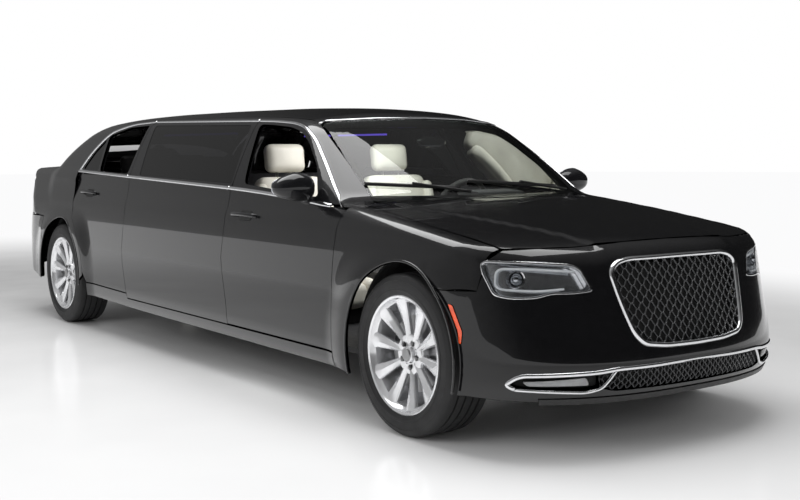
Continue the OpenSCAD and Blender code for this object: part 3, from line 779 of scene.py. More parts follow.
def belt(x0, x1, drop=0.0, count=12):
    """(x, z) points along the line under the windows, or a little below it."""
    x = np.linspace(x0, x1, count)
    return np.column_stack([x, belt_z(x) - drop])


def arc(centre_x, centre_z, radius, start, stop, count=24):
    a = np.radians(np.linspace(start, stop, count))
    return np.column_stack([centre_x + radius * np.cos(a), centre_z + radius * np.sin(a)])


FRONT_EDGE = [(0.22, 1.724), (0.305, 1.717), (0.675, 1.692), (0.87, 1.708), (0.975, 1.736), (1.0, 1.745)]
FRONT_BACK = [(0.30, 0.612), (0.41, 0.600), (0.66, 0.528), (0.92, 0.562), (1.054, 0.537), (1.44, 0.500)]
REAR_FRONT = [(0.30, -0.822), (0.335, -0.827), (0.572, -0.908), (0.892, -0.876), (1.094, -0.918),
              (1.46, -0.939)]
SILL_TOP = {"front": 0.305, "rear": 0.335}
DLO = np.array([(-1.850, 1.112), (-1.740, 1.255), (-1.565, 1.392), (-1.270, 1.449), (-0.940, 1.460),
                (-0.215, 1.448), (0.500, 1.436), (0.710, 1.429), (0.910, 1.415), (1.045, 1.390),
                (1.185, 1.326), (1.385, 1.190), (1.627, 1.002)])
FRONT_WINDOW = [(0.665, 1.082), (1.440, 1.032), (1.330, 1.178), (1.160, 1.300), (1.030, 1.362),
                (0.890, 1.388), (0.700, 1.402), (0.550, 1.408)]
REAR_WINDOW = [(-0.965, 1.112), (-1.460, 1.124), (-1.550, 1.366), (-1.265, 1.421), (-0.965, 1.430)]
QUARTER_LIGHT = [(-1.495, 1.130), (-1.775, 1.138), (-1.690, 1.250), (-1.580, 1.345)]
CENTER_WINDOW = [(-0.763, 1.108), (0.518, 1.082), (0.452, 1.404), (-0.858, 1.426)]
HOOD_HALF = np.array([(2.944, 0), (2.938, 0.250), (2.905, 0.500), (2.850, 0.660), (2.775, 0.788),
                      (2.300, 0.805), (1.762, 0.770), (1.762, 0.690), (1.850, 0.420), (1.890, 0)])
HEADLAMP = np.array([(0.862, 0.800), (0.848, 0.812), (0.705, 0.807), (0.562, 0.795), (0.525, 0.777),
                     (0.488, 0.690), (0.568, 0.683), (0.654, 0.684), (0.713, 0.667), (0.790, 0.664),
                     (0.837, 0.675), (0.860, 0.764)])
GRILLE_HALF = [(0.0, 0.803), (0.292, 0.802), (0.350, 0.790), (0.384, 0.762), (0.366, 0.663),
               (0.344, 0.571), (0.325, 0.510), (0.291, 0.474), (0.178, 0.460), (0.0, 0.457)]
LOWER_HALF = [(0.0, 0.372), (0.430, 0.372), (0.520, 0.352), (0.500, 0.300), (0.440, 0.285), (0.0, 0.282)]
FOG_POCKET = [(0.520, 0.360), (0.790, 0.352), (0.826, 0.318), (0.775, 0.300), (0.560, 0.292), (0.510, 0.300)]
WINDSHIELD = [(0, 1.436), (0.300, 1.431), (0.560, 1.416), (0.606, 1.400), (0.650, 1.215), (0.700, 1.012),
              (0, 1.012)]
BACKLIGHT = [(0, 1.486), (0.300, 1.479), (0.520, 1.452), (0.575, 1.425), (0.640, 1.176), (0, 1.176)]


def both_halves(half):
    """An outline made whole from its left half, which starts and ends on the centre line."""
    half = np.asarray(half, float)
    return np.concatenate([half, [(-y, z) for y, z in half[::-1] if abs(y) > 1e-9]])


def smooth_outline(points, radius=0.03, pitch=0.02):
    return resample(rounded(points, radius), pitch)


def seen_from(view, source, points, field=lower_field):
    """An outline given in one view, as it lies in another."""
    return view["flat"](hit(source, np.asarray(points, float), field)[0])


def on_nose(points, field=lower_field):
    return seen_from(NOSE, AHEAD, points, field)


def on_shoulder(source, points, field=lower_field):
    return seen_from(SHOULDER, source, points, field)


def wheel_arch(axle, start, stop, count, gap=0.0):
    """Part of a wheel arch's edge in the side view; axle 0 is the front one."""
    return arc(AXLES_X[axle], AXLE_Z + ARCH_RISE, ARCH_R + gap, start, stop, count)


# ---- Body panels --------------------------------------------------------------------------

for mirror in (False, True):
    side = lambda name: side_names(name, mirror)
    # Doors: painted skins, and black frames round the windows
    front_skin = np.concatenate([
        along(FRONT_EDGE, SILL_TOP["front"], 0.975), belt(1.732, 0.540, 0.004),
        along(FRONT_BACK, 1.045, SILL_TOP["front"])])
    panel(side("front_door_skin"), front_skin, SIDE, lower_field, "paint", side("front_door"),
          mirror=mirror)
    rear_skin = np.concatenate([
        along(REAR_FRONT, SILL_TOP["rear"], 1.085), belt(-0.920, -1.842, 0.004),
        [(-1.850, 0.96), (-1.838, 0.815)],
        arc(AXLES_X[1], AXLE_Z, DOOR_CUT_R, 62, 6), [(-1.510, 0.345)]])
    panel(side("rear_door_skin"), rear_skin, SIDE, lower_field, "paint", side("rear_door"),
          mirror=mirror)
    front_frame = np.concatenate([
        belt(0.540, 1.600, -0.002), [(1.627, 1.002)], DLO[::-1][1:6], [(0.500, 1.436)],
        along(FRONT_BACK, 1.40, 1.10, 4)])
    panel(side("front_door_frame"), front_frame, SIDE, cabin_field, "trim_black", side("front_door"),
          holes=[smooth_outline(FRONT_WINDOW, 0.035)], mirror=mirror)
    rear_frame = np.concatenate([
        belt(-1.842, -0.922, -0.002), along(REAR_FRONT, 1.12, 1.44, 5), [(-0.938, 1.460)],
        DLO[3:0:-1], [(-1.842, 1.118)]])
    panel(side("rear_door_frame"), rear_frame, SIDE, cabin_field, "trim_black", side("rear_door"),
          holes=[smooth_outline(REAR_WINDOW, 0.03), smooth_outline(QUARTER_LIGHT, 0.02)],
          mirror=mirror)
    panel(side("quarter_light"), shrink(smooth_outline(wound(np.array(QUARTER_LIGHT)), 0.02), -0.004),
          SIDE, cabin_field, "dark_glass", side("rear_door"), depth=0.006, flange=0.004,
          mirror=mirror)
    for end, skin, frame_line in (("front", front_skin, front_frame), ("rear", rear_skin, rear_frame)):
        opening = FRONT_WINDOW if end == "front" else REAR_WINDOW
        panel(side(end + "_door_trim"), skin, SIDE, lower_field, "dash", side(end + "_door"), gap=0.022,
              depth=0.085, flange=-0.072, inside=True, mirror=mirror, pitch=0.04)
        piece = panel(side(end + "_door_liner"), frame_line, SIDE, cabin_field, "trim_black",
                      side(end + "_door"), holes=[smooth_outline(opening, 0.03)], depth=0.030,
                      flange=-0.028, gap=0.014, inside=True, mirror=mirror, pitch=0.05)
        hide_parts(side(end + "_door"))
    # Centre panel and its long window
    center_skin = np.concatenate([
        belt(-0.914, 0.533, 0.004), along(FRONT_BACK, 1.04, 0.302), [(-0.822, 0.302)],
        along(REAR_FRONT, 0.335, 1.07)])
    panel(side("center_skin"), center_skin, SIDE, lower_field, "paint", "body", mirror=mirror)
    center_frame = np.concatenate([
        belt(-0.914, 0.532, -0.002), along(FRONT_BACK, 1.10, 1.40, 4), [(0.497, 1.436), (-0.215, 1.448)],
        [(-0.935, 1.460)], along(REAR_FRONT, 1.40, 1.12, 4)])
    panel(side("center_frame"), center_frame, SIDE, cabin_field, "trim_black", "body",
          holes=[smooth_outline(CENTER_WINDOW, 0.012)], mirror=mirror)
    glass = panel(side("center_glass"), shrink(smooth_outline(wound(np.array(CENTER_WINDOW)), 0.012),
                                               -0.001),
                  SIDE, cabin_field, "dark_glass", "body", depth=0.0015, flange=0.004, gap=0.0,
                  mirror=mirror)
    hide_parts("center_windows")
    # Fender
    fender = np.concatenate([
        on_shoulder(TOP, HOOD_HALF[4:7]),
        on_shoulder(SIDE, [(1.745, 0.992)]),
        on_shoulder(SIDE, along(FRONT_EDGE, 0.975, 0.225, 10)),
        on_shoulder(SIDE, wheel_arch(0, 201, 50, 34)),
        on_shoulder(SIDE, [(2.60, 0.683), (2.739, 0.689)]),
        on_shoulder(AHEAD, [(0.860, 0.764), (0.862, 0.800), (0.848, 0.813), (0.820, 0.845)])])
    piece = panel(side("fender"), fender, SHOULDER, lower_field, "paint", "body", mirror=mirror)
    if mirror:
        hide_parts("front_fenders")
    # Roof rail with its windshield pillar
    pillar = np.array([(0.606, 1.400), (0.650, 1.215), (0.700, 1.012)])
    rail = np.concatenate([
        on_shoulder(SIDE, DLO[2:], cabin_field),
        on_shoulder(SIDE, [(1.70, 0.992), (1.76, 0.992)], body_field),
        on_shoulder(TOP, [(1.765, 0.768), (1.763, 0.710)], body_field),
        on_shoulder(AHEAD, pillar[::-1], body_field),
        on_shoulder(TOP, [(x, ROOF_SEAM_Y) for x in np.linspace(1.05, -1.62, 14)], body_field)])
    panel(side("roof_rail"), rail, SHOULDER, body_field, "paint", "body", gap=0.0006, mirror=mirror)
    # Quarter panel with its pillar and the deck's edge
    back_edge = np.array([(0.600, 1.415), (0.622, 1.290), (0.640, 1.176)])
    quarter = np.concatenate([
        on_shoulder(SIDE, [(-1.565, 1.392), (-1.740, 1.255), (-1.850, 1.112), (-1.850, 0.96),
                           (-1.838, 0.815)], body_field),
        on_shoulder(SIDE, arc(AXLES_X[1], AXLE_Z, DOOR_CUT_R, 62, 3, 16)),
        on_shoulder(SIDE, wheel_arch(1, -3, 150, 34)),
        on_shoulder(SIDE, [(-2.450, 0.772), (-2.800, 0.772), (-2.805, 0.900), (-2.800, 1.060)]),
        on_shoulder(BEHIND, [(0.80, 1.060), (0.70, 1.066)]),
        on_shoulder(TOP, [(-2.98, 0.644), (-2.575, 0.644)], body_field),
        on_shoulder(BEHIND, back_edge[::-1], body_field),
        on_shoulder(TOP, [(-1.90, ROOF_SEAM_Y), (-1.62, ROOF_SEAM_Y)], body_field)])
    piece = panel(side("quarter_panel"), quarter, SHOULDER, body_field, "paint", "body", mirror=mirror,
                  gap=0.001)
    if mirror:
        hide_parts("quarter_panels", "center_panels", "roof_rails")
    sill = np.array([(-1.515, 0.252), (-1.515, 0.340), (-0.830, 0.331), (-0.816, 0.298), (1.712, 0.298),
                     (1.718, 0.225), (-0.67, 0.235)])
    piece = panel(side("sill"), sill, SIDE, wall_field, "paint", "body", flange=0.05, mirror=mirror)
    if mirror:
        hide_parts("sills")

roof = np.concatenate([
    hit(TOP, [(x, 0.5985) for x in np.linspace(-1.78, 1.02, 12)], body_field)[0],
    hit(AHEAD, np.array(WINDSHIELD[:4])[::-1], body_field)[0],
    hit(AHEAD, [(-y, z) for y, z in WINDSHIELD[1:4]], body_field)[0],
    hit(TOP, [(x, -0.5985) for x in np.linspace(1.02, -1.78, 12)], body_field)[0],
    hit(BEHIND, [(-y, z) for y, z in BACKLIGHT[3:0:-1]], body_field)[0],
    hit(BEHIND, BACKLIGHT[:4], body_field)[0]])
piece = panel("roof_skin", TOP["flat"](roof), TOP, body_field, "paint", "body", gap=0.001)
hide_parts("roof_panel")
hood = np.concatenate([HOOD_HALF, [(x, -y) for x, y in HOOD_HALF[-2:0:-1]]])
piece = panel("hood_skin", smooth_outline(hood, 0.03, 0.03), TOP, lower_field, "paint", "hood", pitch=0.028)
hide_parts("hood")

DECK = flat_view((0.75, 0, -0.66), (0, 1, 0), (0.66, 0, 0.75), -3.9)
lid = np.concatenate([
    hit(TOP, [(-2.590, y) for y in np.linspace(-0.64, 0.64, 12)], body_field)[0],
    hit(TOP, [(-2.95, 0.64)], lower_field)[0],
    hit(BEHIND, [(0.64, z) for z in (1.08, 0.95, 0.85, 0.775)], lower_field)[0],
    hit(BEHIND, [(y, 0.775) for y in np.linspace(0.5, -0.5, 8)], lower_field)[0],
    hit(BEHIND, [(-0.64, z) for z in (0.775, 0.85, 0.95, 1.08)], lower_field)[0],
    hit(TOP, [(-2.95, -0.64)], lower_field)[0]])
piece = panel("trunk_skin", DECK["flat"](lid), DECK, lower_field, "paint", "trunk_lid")
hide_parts("trunk_lid")
deck = np.concatenate([
    hit(TOP, [(-2.556, y) for y in np.linspace(-0.643, 0.643, 12)], body_field)[0],
    hit(BEHIND, [(y, 1.176) for y in np.linspace(0.640, -0.640, 12)], body_field)[0]])
piece = panel("rear_deck_skin", TOP["flat"](deck), TOP, body_field, "paint", "body",
              gap=0.001)
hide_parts("rear_deck")


# ---- Bumpers ------------------------------------------------------------------------------

arch_front = wheel_arch(0, 50, -17, 16)
half = np.concatenate([
    seen_from(NOSE, TOP, [(2.944, 0.0), (2.938, 0.250), (2.905, 0.500), (2.850, 0.660), (2.785, 0.782)]),
    seen_from(NOSE, AHEAD, HEADLAMP[:6]),
    seen_from(NOSE, AHEAD, HEADLAMP[6:]),
    seen_from(NOSE, SIDE, [(2.735, 0.690), (2.600, 0.684)]),
    seen_from(NOSE, SIDE, arch_front),
    [(NOSE["flat"](spot([2.70], [0.255]))[0][0], 0.255), (0.55, 0.240), (0.0, 0.226)]])
bumper = np.concatenate([half, [(-a, z) for a, z in half[-2:0:-1]]])
openings = [on_nose(smooth_outline(both_halves(GRILLE_HALF), 0.03)),
            on_nose(smooth_outline(both_halves(LOWER_HALF), 0.02))]
for s in (1, -1):
    openings.append(on_nose(smooth_outline([(s * y, z) for y, z in FOG_POCKET], 0.012)))
piece = panel("front_bumper_skin", bumper, NOSE, lower_field, "paint", "body", holes=openings, flange=0.03)
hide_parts("front_bumper")

arch_rear = wheel_arch(1, 150, 192, 10)
half = np.concatenate([
    seen_from(TAIL, BEHIND, [(0.0, 0.768), (0.30, 0.768), (0.60, 0.768)]),
    seen_from(TAIL, SIDE, [(-2.800, 0.768), (-2.450, 0.768)]),
    seen_from(TAIL, SIDE, arch_rear[:-1]),
    seen_from(TAIL, SIDE, [(-2.47, 0.300), (-2.80, 0.335)]),
    seen_from(TAIL, BEHIND, [(0.60, 0.385), (0.0, 0.390)])])
rear_bumper = np.concatenate([half, [(2 * TAIL_MIDDLE - a, z) for a, z in half[-2:0:-1]]])
piece = panel("rear_bumper_skin", rear_bumper, TAIL, lower_field, "paint", "body",
              flange=0.03)
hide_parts("rear_bumper")
valance = np.concatenate([seen_from(TAIL, BEHIND, [(y, 0.455) for y in np.linspace(0.42, -0.42, 9)]),
                          seen_from(TAIL, BEHIND, [(y, 0.395) for y in np.linspace(-0.46, 0.46, 9)])])
panel("rear_valance", valance, TAIL, lower_field, "black_plastic", "body",
      depth=-0.001, flange=0.004)
lip = [(a, 0.262) for a in np.linspace(-0.62, 0.62, 15)] + [(a, 0.232) for a in np.linspace(0.62, -0.62, 15)]
panel("front_lip", lip, NOSE, lower_field, "black_plastic", "body",
      depth=-0.004, flange=0.02)


# ---- Glass --------------------------------------------------------------------------------

def screen(name, outline, view, material, node):
    """A front or rear glass with a black border printed behind its edge."""
    shape = smooth_outline(both_halves(outline), 0.035)
    piece = panel(name, shape, view, body_field, material, "body", depth=0.002, flange=0.005, pitch=0.035)
    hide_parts(node)
    panel(name + "_border", shape, view, body_field, "trim_black", "body", depth=0.006, flange=0.004,
          holes=[shrink(shape, 0.034 if area(shape) > 0 else -0.034)])


screen("windshield_glass", WINDSHIELD, AHEAD, "clear_glass", "windshield")
screen("rear_glass", BACKLIGHT, BEHIND, "dark_glass", "rear_window")
for end, outline in (("front", FRONT_WINDOW), ("rear", REAR_WINDOW)):
    shape = smooth_outline(wound(np.array(outline)), 0.03)
    piece = panel(f"left_{end}_pane", shrink(shape, -0.010), SIDE, cabin_field, "smoke_glass",
                  f"left_{end}_door", depth=0.014, flange=0.004)
    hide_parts(f"left_{end}_glass")
cowl_front = [(1.758, 0.690), (1.846, 0.420), (1.874, 0.200), (1.886, 0.0)]
cowl = (cowl_front + [(x, -y) for x, y in cowl_front[-2::-1]]
        + [(1.685, -0.70), (1.725, -0.42), (1.775, 0.0), (1.725, 0.42), (1.685, 0.70)])
piece = panel("cowl_cover", cowl, TOP, lower_field, "black_plastic", "body", depth=0.010, gap=0.0005)
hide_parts("cowl")


# ---- Bright mouldings ---------------------------------------------------------------------

NOSE_TIP = 3.144


def moulding(name, points, view, field, body, width=0.020, height=0.006, mirror=False, closed=False,
             material="bright_trim"):
    """A low strip along a line on the body, kept behind the tip of the nose."""
    flat = resample(np.asarray(points, float), 0.015, closed)
    path, normals = hit(view, flat, field)
    path[:, 0] = np.minimum(path[:, 0], NOSE_TIP - height)
    return sweep(name, path, normals, half_round(width, height), material, body,
                 closed, mirror)


def cut(points, x0, x1):
    """The part of a line in the side view between two stations."""
    fine = resample(points, 0.006, closed=False)
    return fine[(fine[:, 0] >= x0) & (fine[:, 0] <= x1)]


upper_line = rounded(np.concatenate([[(-1.842, 1.118)], DLO[1:], [(1.640, 0.993)]]) + np.array([0, -0.004]),
                     0.10, closed=False, count=9)
lower_line = belt(-1.838, 1.640, 0.0, 60)
for mirror in (False, True):
    side = lambda name: side_names(name, mirror)
    for part, body, x0, x1 in (("rear", side("rear_door"), -1.85, -0.941), ("center", "body", -0.935, 0.497),
                               ("front", side("front_door"), 0.503, 1.66)):
        moulding(side(f"upper_trim_{part}"), cut(upper_line, x0, x1), SIDE, cabin_field, body, 0.019,
                 mirror=mirror)
    for part, body, x0, x1 in (("rear", side("rear_door"), -1.838, -0.921), ("center", "body", -0.915, 0.534),
                               ("front", side("front_door"), 0.540, 1.60)):
        moulding(side(f"belt_trim_{part}"), cut(lower_line, x0, x1), SIDE, body_field, body, 0.020,
                 mirror=mirror)
    for end, x0, x1, z in (("front", 0.648, 0.927, 0.912), ("rear", -1.705, -1.430, 0.968)):
        handle = np.column_stack([np.linspace(x0, x1, 24), np.full(24, z)])
        path, normals = hit(SIDE, handle, lower_field)
        t = np.linspace(0, 1, 24)
        lift = 0.008 + 0.026 * np.sin(np.pi * t) ** 0.45
        sweep(side(end + "_handle"), path + normals * lift[:, None], normals,
              [(0.0105 * math.cos(a), 0.0065 * math.sin(a)) for a in np.linspace(0, 2 * np.pi, 12, False)],
              "gloss_black", side(end + "_door"), mirror=mirror)
        cup = smooth_outline([(x0 + 0.075, z - 0.026), (x1 - 0.065, z - 0.026), (x1 - 0.065, z + 0.026),
                              (x0 + 0.075, z + 0.026)], 0.022, 0.01)
        panel(side(end + "_handle_cup"), cup, SIDE, lower_field, "liner", side(end + "_door"),
              depth=-0.0015, flange=0.004, mirror=mirror)
    lip = wheel_arch(0, 201, -15, 60, 0.003)
    moulding(side("front_arch_lip"), lip, SIDE, wall_field, "body", 0.012, 0.004, mirror=mirror,
             material="paint")
    lip = wheel_arch(1, -8, 190, 60, 0.003)
    moulding(side("rear_arch_lip"), lip, SIDE, wall_field, "body", 0.012, 0.004, mirror=mirror,
             material="paint")
    marker = smooth_outline(np.array([(2.612, 0.632), (2.640, 0.628), (2.692, 0.520), (2.688, 0.468),
                                      (2.674, 0.470), (2.668, 0.520)]), 0.01, 0.008)
    panel(side("side_marker"), marker, SIDE, lower_field, "marker_red", "body", depth=-0.003,
          flange=0.005, pitch=0.01, mirror=mirror)
crown = sorted((y, z + 0.004) for y, z in both_halves(WINDSHIELD[:4]))
moulding("windshield_trim", crown, AHEAD, body_field, "body", 0.018, 0.005)


def lathe(name, centre, axis, profile, material, body, count=40, scale=(1, 1)):
    """A turned form: profile of (radius, distance along the axis)."""
    axis = unit(np.asarray(axis, float))
    side_axis = unit(np.cross(axis, (0, 0, 1.0) if abs(axis[2]) < 0.9 else (0, 1.0, 0)))
    other = np.cross(axis, side_axis)
    verts, faces = [], []
    for r, h in profile:
        for a in np.linspace(0, 2 * np.pi, count, endpoint=False):
            verts.append(np.asarray(centre) + axis * h + side_axis * r * scale[0] * math.cos(a)
                         + other * r * scale[1] * math.sin(a))
    rings = len(profile)
    for i in range(rings - 1):
        for j in range(count):
            k = (j + 1) % count
            faces.append((i * count + j, i * count + k, (i + 1) * count + k, (i + 1) * count + j))
    if profile[0][0] > 1e-6:
        faces.append(tuple(range(count))[::-1])
    if profile[-1][0] > 1e-6:
        faces.append(tuple((rings - 1) * count + j for j in range(count)))
    piece = mesh_piece(name, verts, faces, body, material)
    recalc(piece, merge=1e-6, sharp=38)
    return piece


# ---- Grilles and lamps --------------------------------------------------------------------

def grille_loop(outline, radius=0.03):
    return on_nose(smooth_outline(both_halves(outline), radius, 0.015))


def wire_mesh(name, outline, low, high, pitch, cell, depth, material):
    """Rows of wavy wire, each the mirror of the one below, cut to an outline."""
    verts, faces = [], []
    rows = int((high - low) / pitch)
    shape = NOSE["flat"](hit(AHEAD, outline, lower_field)[0])
    for row in range(rows + 1):
        level = low + row * pitch
        y = np.arange(-0.55, 0.5501, cell / 12)
        wave = 0.5 * pitch * np.sign(np.cos(2 * np.pi * y / cell)) * np.abs(
            np.cos(2 * np.pi * y / cell)) ** 0.6
        z = level + wave * (1 if row % 2 else -1)
        flat = np.column_stack([y, z])
        points, normals = hit(AHEAD, flat, lower_field, depth)
        keep = inside_mask(NOSE["flat"](points + normals * depth), [shape])
        runs = np.split(np.arange(len(y)), np.flatnonzero(np.diff(keep.astype(int))) + 1)
        for run in runs:
            if len(run) < 4 or not keep[run[0]]:
                continue
            p, q = points[run], normals[run]
            step = unit(np.gradient(p, axis=0))
            up = unit(np.cross(q, step))
            ring = [(-0.0022, 0.0), (-0.0014, 0.007), (0.0014, 0.007), (0.0022, 0.0), (0.0, -0.006)]
            base = len(verts)
            for i in range(len(run)):
                verts += [p[i] + up[i] * a + q[i] * b for a, b in ring]
            for i in range(len(run) - 1):
                for j in range(5):
                    k = (j + 1) % 5
                    faces.append((base + i * 5 + j, base + i * 5 + k, base + i * 5 + 5 + k,
                                  base + i * 5 + 5 + j))
            faces.append(tuple(base + j for j in range(4, -1, -1)))
            faces.append(tuple(base + (len(run) - 1) * 5 + j for j in range(5)))
    piece = mesh_piece(name, verts, faces, "body", material)
    recalc(piece)
    return piece


loop = grille_loop(GRILLE_HALF)
path, normals = hit(NOSE, loop, lower_field)
piece = sweep("grille_frame", path + normals * 0.001, normals,
              [(0.002, -0.03), (0.004, 0.004), (-0.002, 0.011), (-0.012, 0.010), (-0.019, 0.001),
               (-0.020, -0.03)], "bright_trim", "body", closed=True)
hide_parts("grille")
grille_edge = smooth_outline(both_halves(GRILLE_HALF), 0.03)
wire_mesh("grille_mesh", grille_edge, 0.455, 0.81, 0.0235, 0.052, 0.012, "mesh_black")
panel("grille_back", shrink(loop, -0.004 if area(loop) < 0 else 0.004), NOSE, lower_field, "liner",
      "body", depth=0.045, flange=-0.02, pitch=0.04)
lower_loop = grille_loop(LOWER_HALF, 0.02)
lower_edge = smooth_outline(both_halves(LOWER_HALF), 0.02)
piece = wire_mesh("lower_mesh", lower_edge, 0.280, 0.375, 0.0165, 0.036, 0.012, "mesh_black")
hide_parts("lower_grille")
panel("lower_back", lower_loop, NOSE, lower_field, "liner", "body", depth=0.05, flange=-0.03, pitch=0.04)
bright = [(-0.800, 0.300), (-0.826, 0.318), (-0.790, 0.356), (-0.520, 0.366), (-0.430, 0.376), (0.0, 0.380),
          (0.430, 0.376), (0.520, 0.366), (0.790, 0.356), (0.826, 0.318), (0.800, 0.300)]
bright = rounded(np.array(bright), 0.03, closed=False)
moulding("bumper_trim", bright, AHEAD, lower_field, "body", 0.019, 0.008)
for s, name in ((1, "left"), (-1, "right")):
    under = rounded(np.array([(s * 0.800, 0.298), (s * 0.560, 0.284), (s * 0.500, 0.298),
                              (s * 0.440, 0.374)]), 0.02, closed=False)
    moulding(name + "_fog_trim", under, AHEAD, lower_field, "body", 0.014, 0.007)
    pocket = on_nose(smooth_outline([(s * y, z) for y, z in FOG_POCKET], 0.012))
    panel(name + "_fog_back", pocket, NOSE, lower_field, "liner", "body", depth=0.03, flange=-0.028,
          gap=0.0)
    lens = smooth_outline([(s * 0.545, 0.308), (s * 0.765, 0.308), (s * 0.785, 0.330), (s * 0.560, 0.346)],
                          0.012, 0.01)
    panel(name + "_fog_lens", on_nose(lens), NOSE, lower_field, "brushed", "body", depth=0.014,
          flange=0.01, pitch=0.012)
    panel(name + "_fog_cover", on_nose(lens), NOSE, lower_field, "lamp_clear", "body", depth=0.010,
          flange=0.003, pitch=0.02)
    lamp = np.column_stack([s * HEADLAMP[:, 0], HEADLAMP[:, 1]])
    shape = on_nose(smooth_outline(lamp, 0.02, 0.015))
    cover = panel(name + "_headlamp_lens", shape, NOSE, lower_field, "lamp_clear", "body",
                  flange=0.006, pitch=0.02)
    if s > 0:
        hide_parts("headlamps")
    panel(name + "_headlamp_bowl", shape, NOSE, lower_field, "lamp_bright", "body", depth=0.050,
          flange=-0.044, pitch=0.02, gap=0.004)
    path, normals = hit(NOSE, shape, lower_field, 0.004)
    sweep(name + "_headlamp_rim", path, normals, half_round(0.013, 0.0045), "bright_trim", "body",
          closed=True)
    # Light guide: a C that opens inboard
    guide = rounded(np.array([(s * 0.545, 0.770), (s * 0.700, 0.782), (s * 0.825, 0.785), (s * 0.835, 0.700),
                              (s * 0.700, 0.694), (s * 0.600, 0.702)]), 0.03, closed=False)
    flat = resample(guide, 0.01, closed=False)
    path, normals = hit(AHEAD, flat, lower_field, 0.018)
    sweep(name + "_light_guide", path, normals, half_round(0.010, 0.006), "lamp_white", "body")
    centre, out = (v[0] for v in hit(AHEAD, [(s * 0.762, 0.742)], lower_field, 0.016))
    out = unit(out + np.array([0.8, 0, 0]))

    lathe(name + "_projector", centre, out, [(0.0, 0.004), (0.014, 0.001), (0.024, -0.008), (0.029, -0.018),
                                             (0.029, -0.03), (0.0, -0.03)], "mirror_glass", "body")
    lathe(name + "_projector_ring", centre, out, [(0.030, -0.03), (0.031, -0.012), (0.036, -0.010),
                                                  (0.040, -0.03)], "bright_trim", "body")
    # Tail lamp
    tail = np.concatenate([
        seen_from(TAIL, SIDE, [(-2.806, 0.788), (-2.811, 0.900), (-2.806, 1.050)]),
        seen_from(TAIL, BEHIND, [(0.80, 1.056), (0.70, 1.060), (0.656, 1.052), (0.652, 0.85),
                                 (0.658, 0.790)])])
    tail = smooth_outline(tail, 0.015, 0.015)
    if s < 0:
        tail = np.array([(2 * TAIL_MIDDLE - a, z) for a, z in tail])
    piece = panel(name + "_tail_lamp", tail, TAIL, lower_field, "lamp_red", "body", flange=0.02)
    if s > 0:
        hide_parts("tail_lamps")
    path, normals = hit(TAIL, shrink(wound(tail), 0.012), lower_field)
    sweep(name + "_tail_rim", path, normals, half_round(0.010, 0.005), "bright_trim", "body",
          closed=True)


# ---- Wheels -------------------------------------------------------------------------------

def swept_block(name, rings, body, material, sharp=38, merge=0.0):
    """A solid through closed rings of equal count."""
    verts = [tuple(v) for ring in rings for v in ring]
    m = len(rings[0])
    faces = []
    for i in range(len(rings) - 1):
        for j in range(m):
            k = (j + 1) % m
            faces.append((i * m + j, i * m + k, (i + 1) * m + k, (i + 1) * m + j))
    faces += [tuple(range(m))[::-1], tuple((len(rings) - 1) * m + j for j in range(m))]
    piece = mesh_piece(name, verts, faces, body, material)
    recalc(piece, merge, sharp)
    return piece


def spoke_rings(centre, s, turn):
    """One broad spoke: narrow at the hub, widening to the rim, with a raised centre line."""
    rings = []
    stations = [(0.050, 0.017, 0.074, 0.050), (0.085, 0.016, 0.078, 0.050), (0.130, 0.020, 0.083, 0.054),
                (0.180, 0.027, 0.090, 0.062), (0.225, 0.034, 0.099, 0.074), (0.247, 0.038, 0.104, 0.082)]
    for r, half_width, face, back in stations:
        section = [(-half_width, back), (-half_width, face - 0.014), (-half_width + 0.004, face - 0.008),
                   (0, face), (half_width - 0.004, face - 0.008), (half_width, face - 0.014),
                   (half_width, back)]
        ring = []
        for t, h in section:
            a = turn + t / r
            ring.append((centre[0] + r * math.sin(a) * s, centre[1] + s * h,
                         centre[2] + r * math.cos(a)))
        rings.append(ring)
    return rings


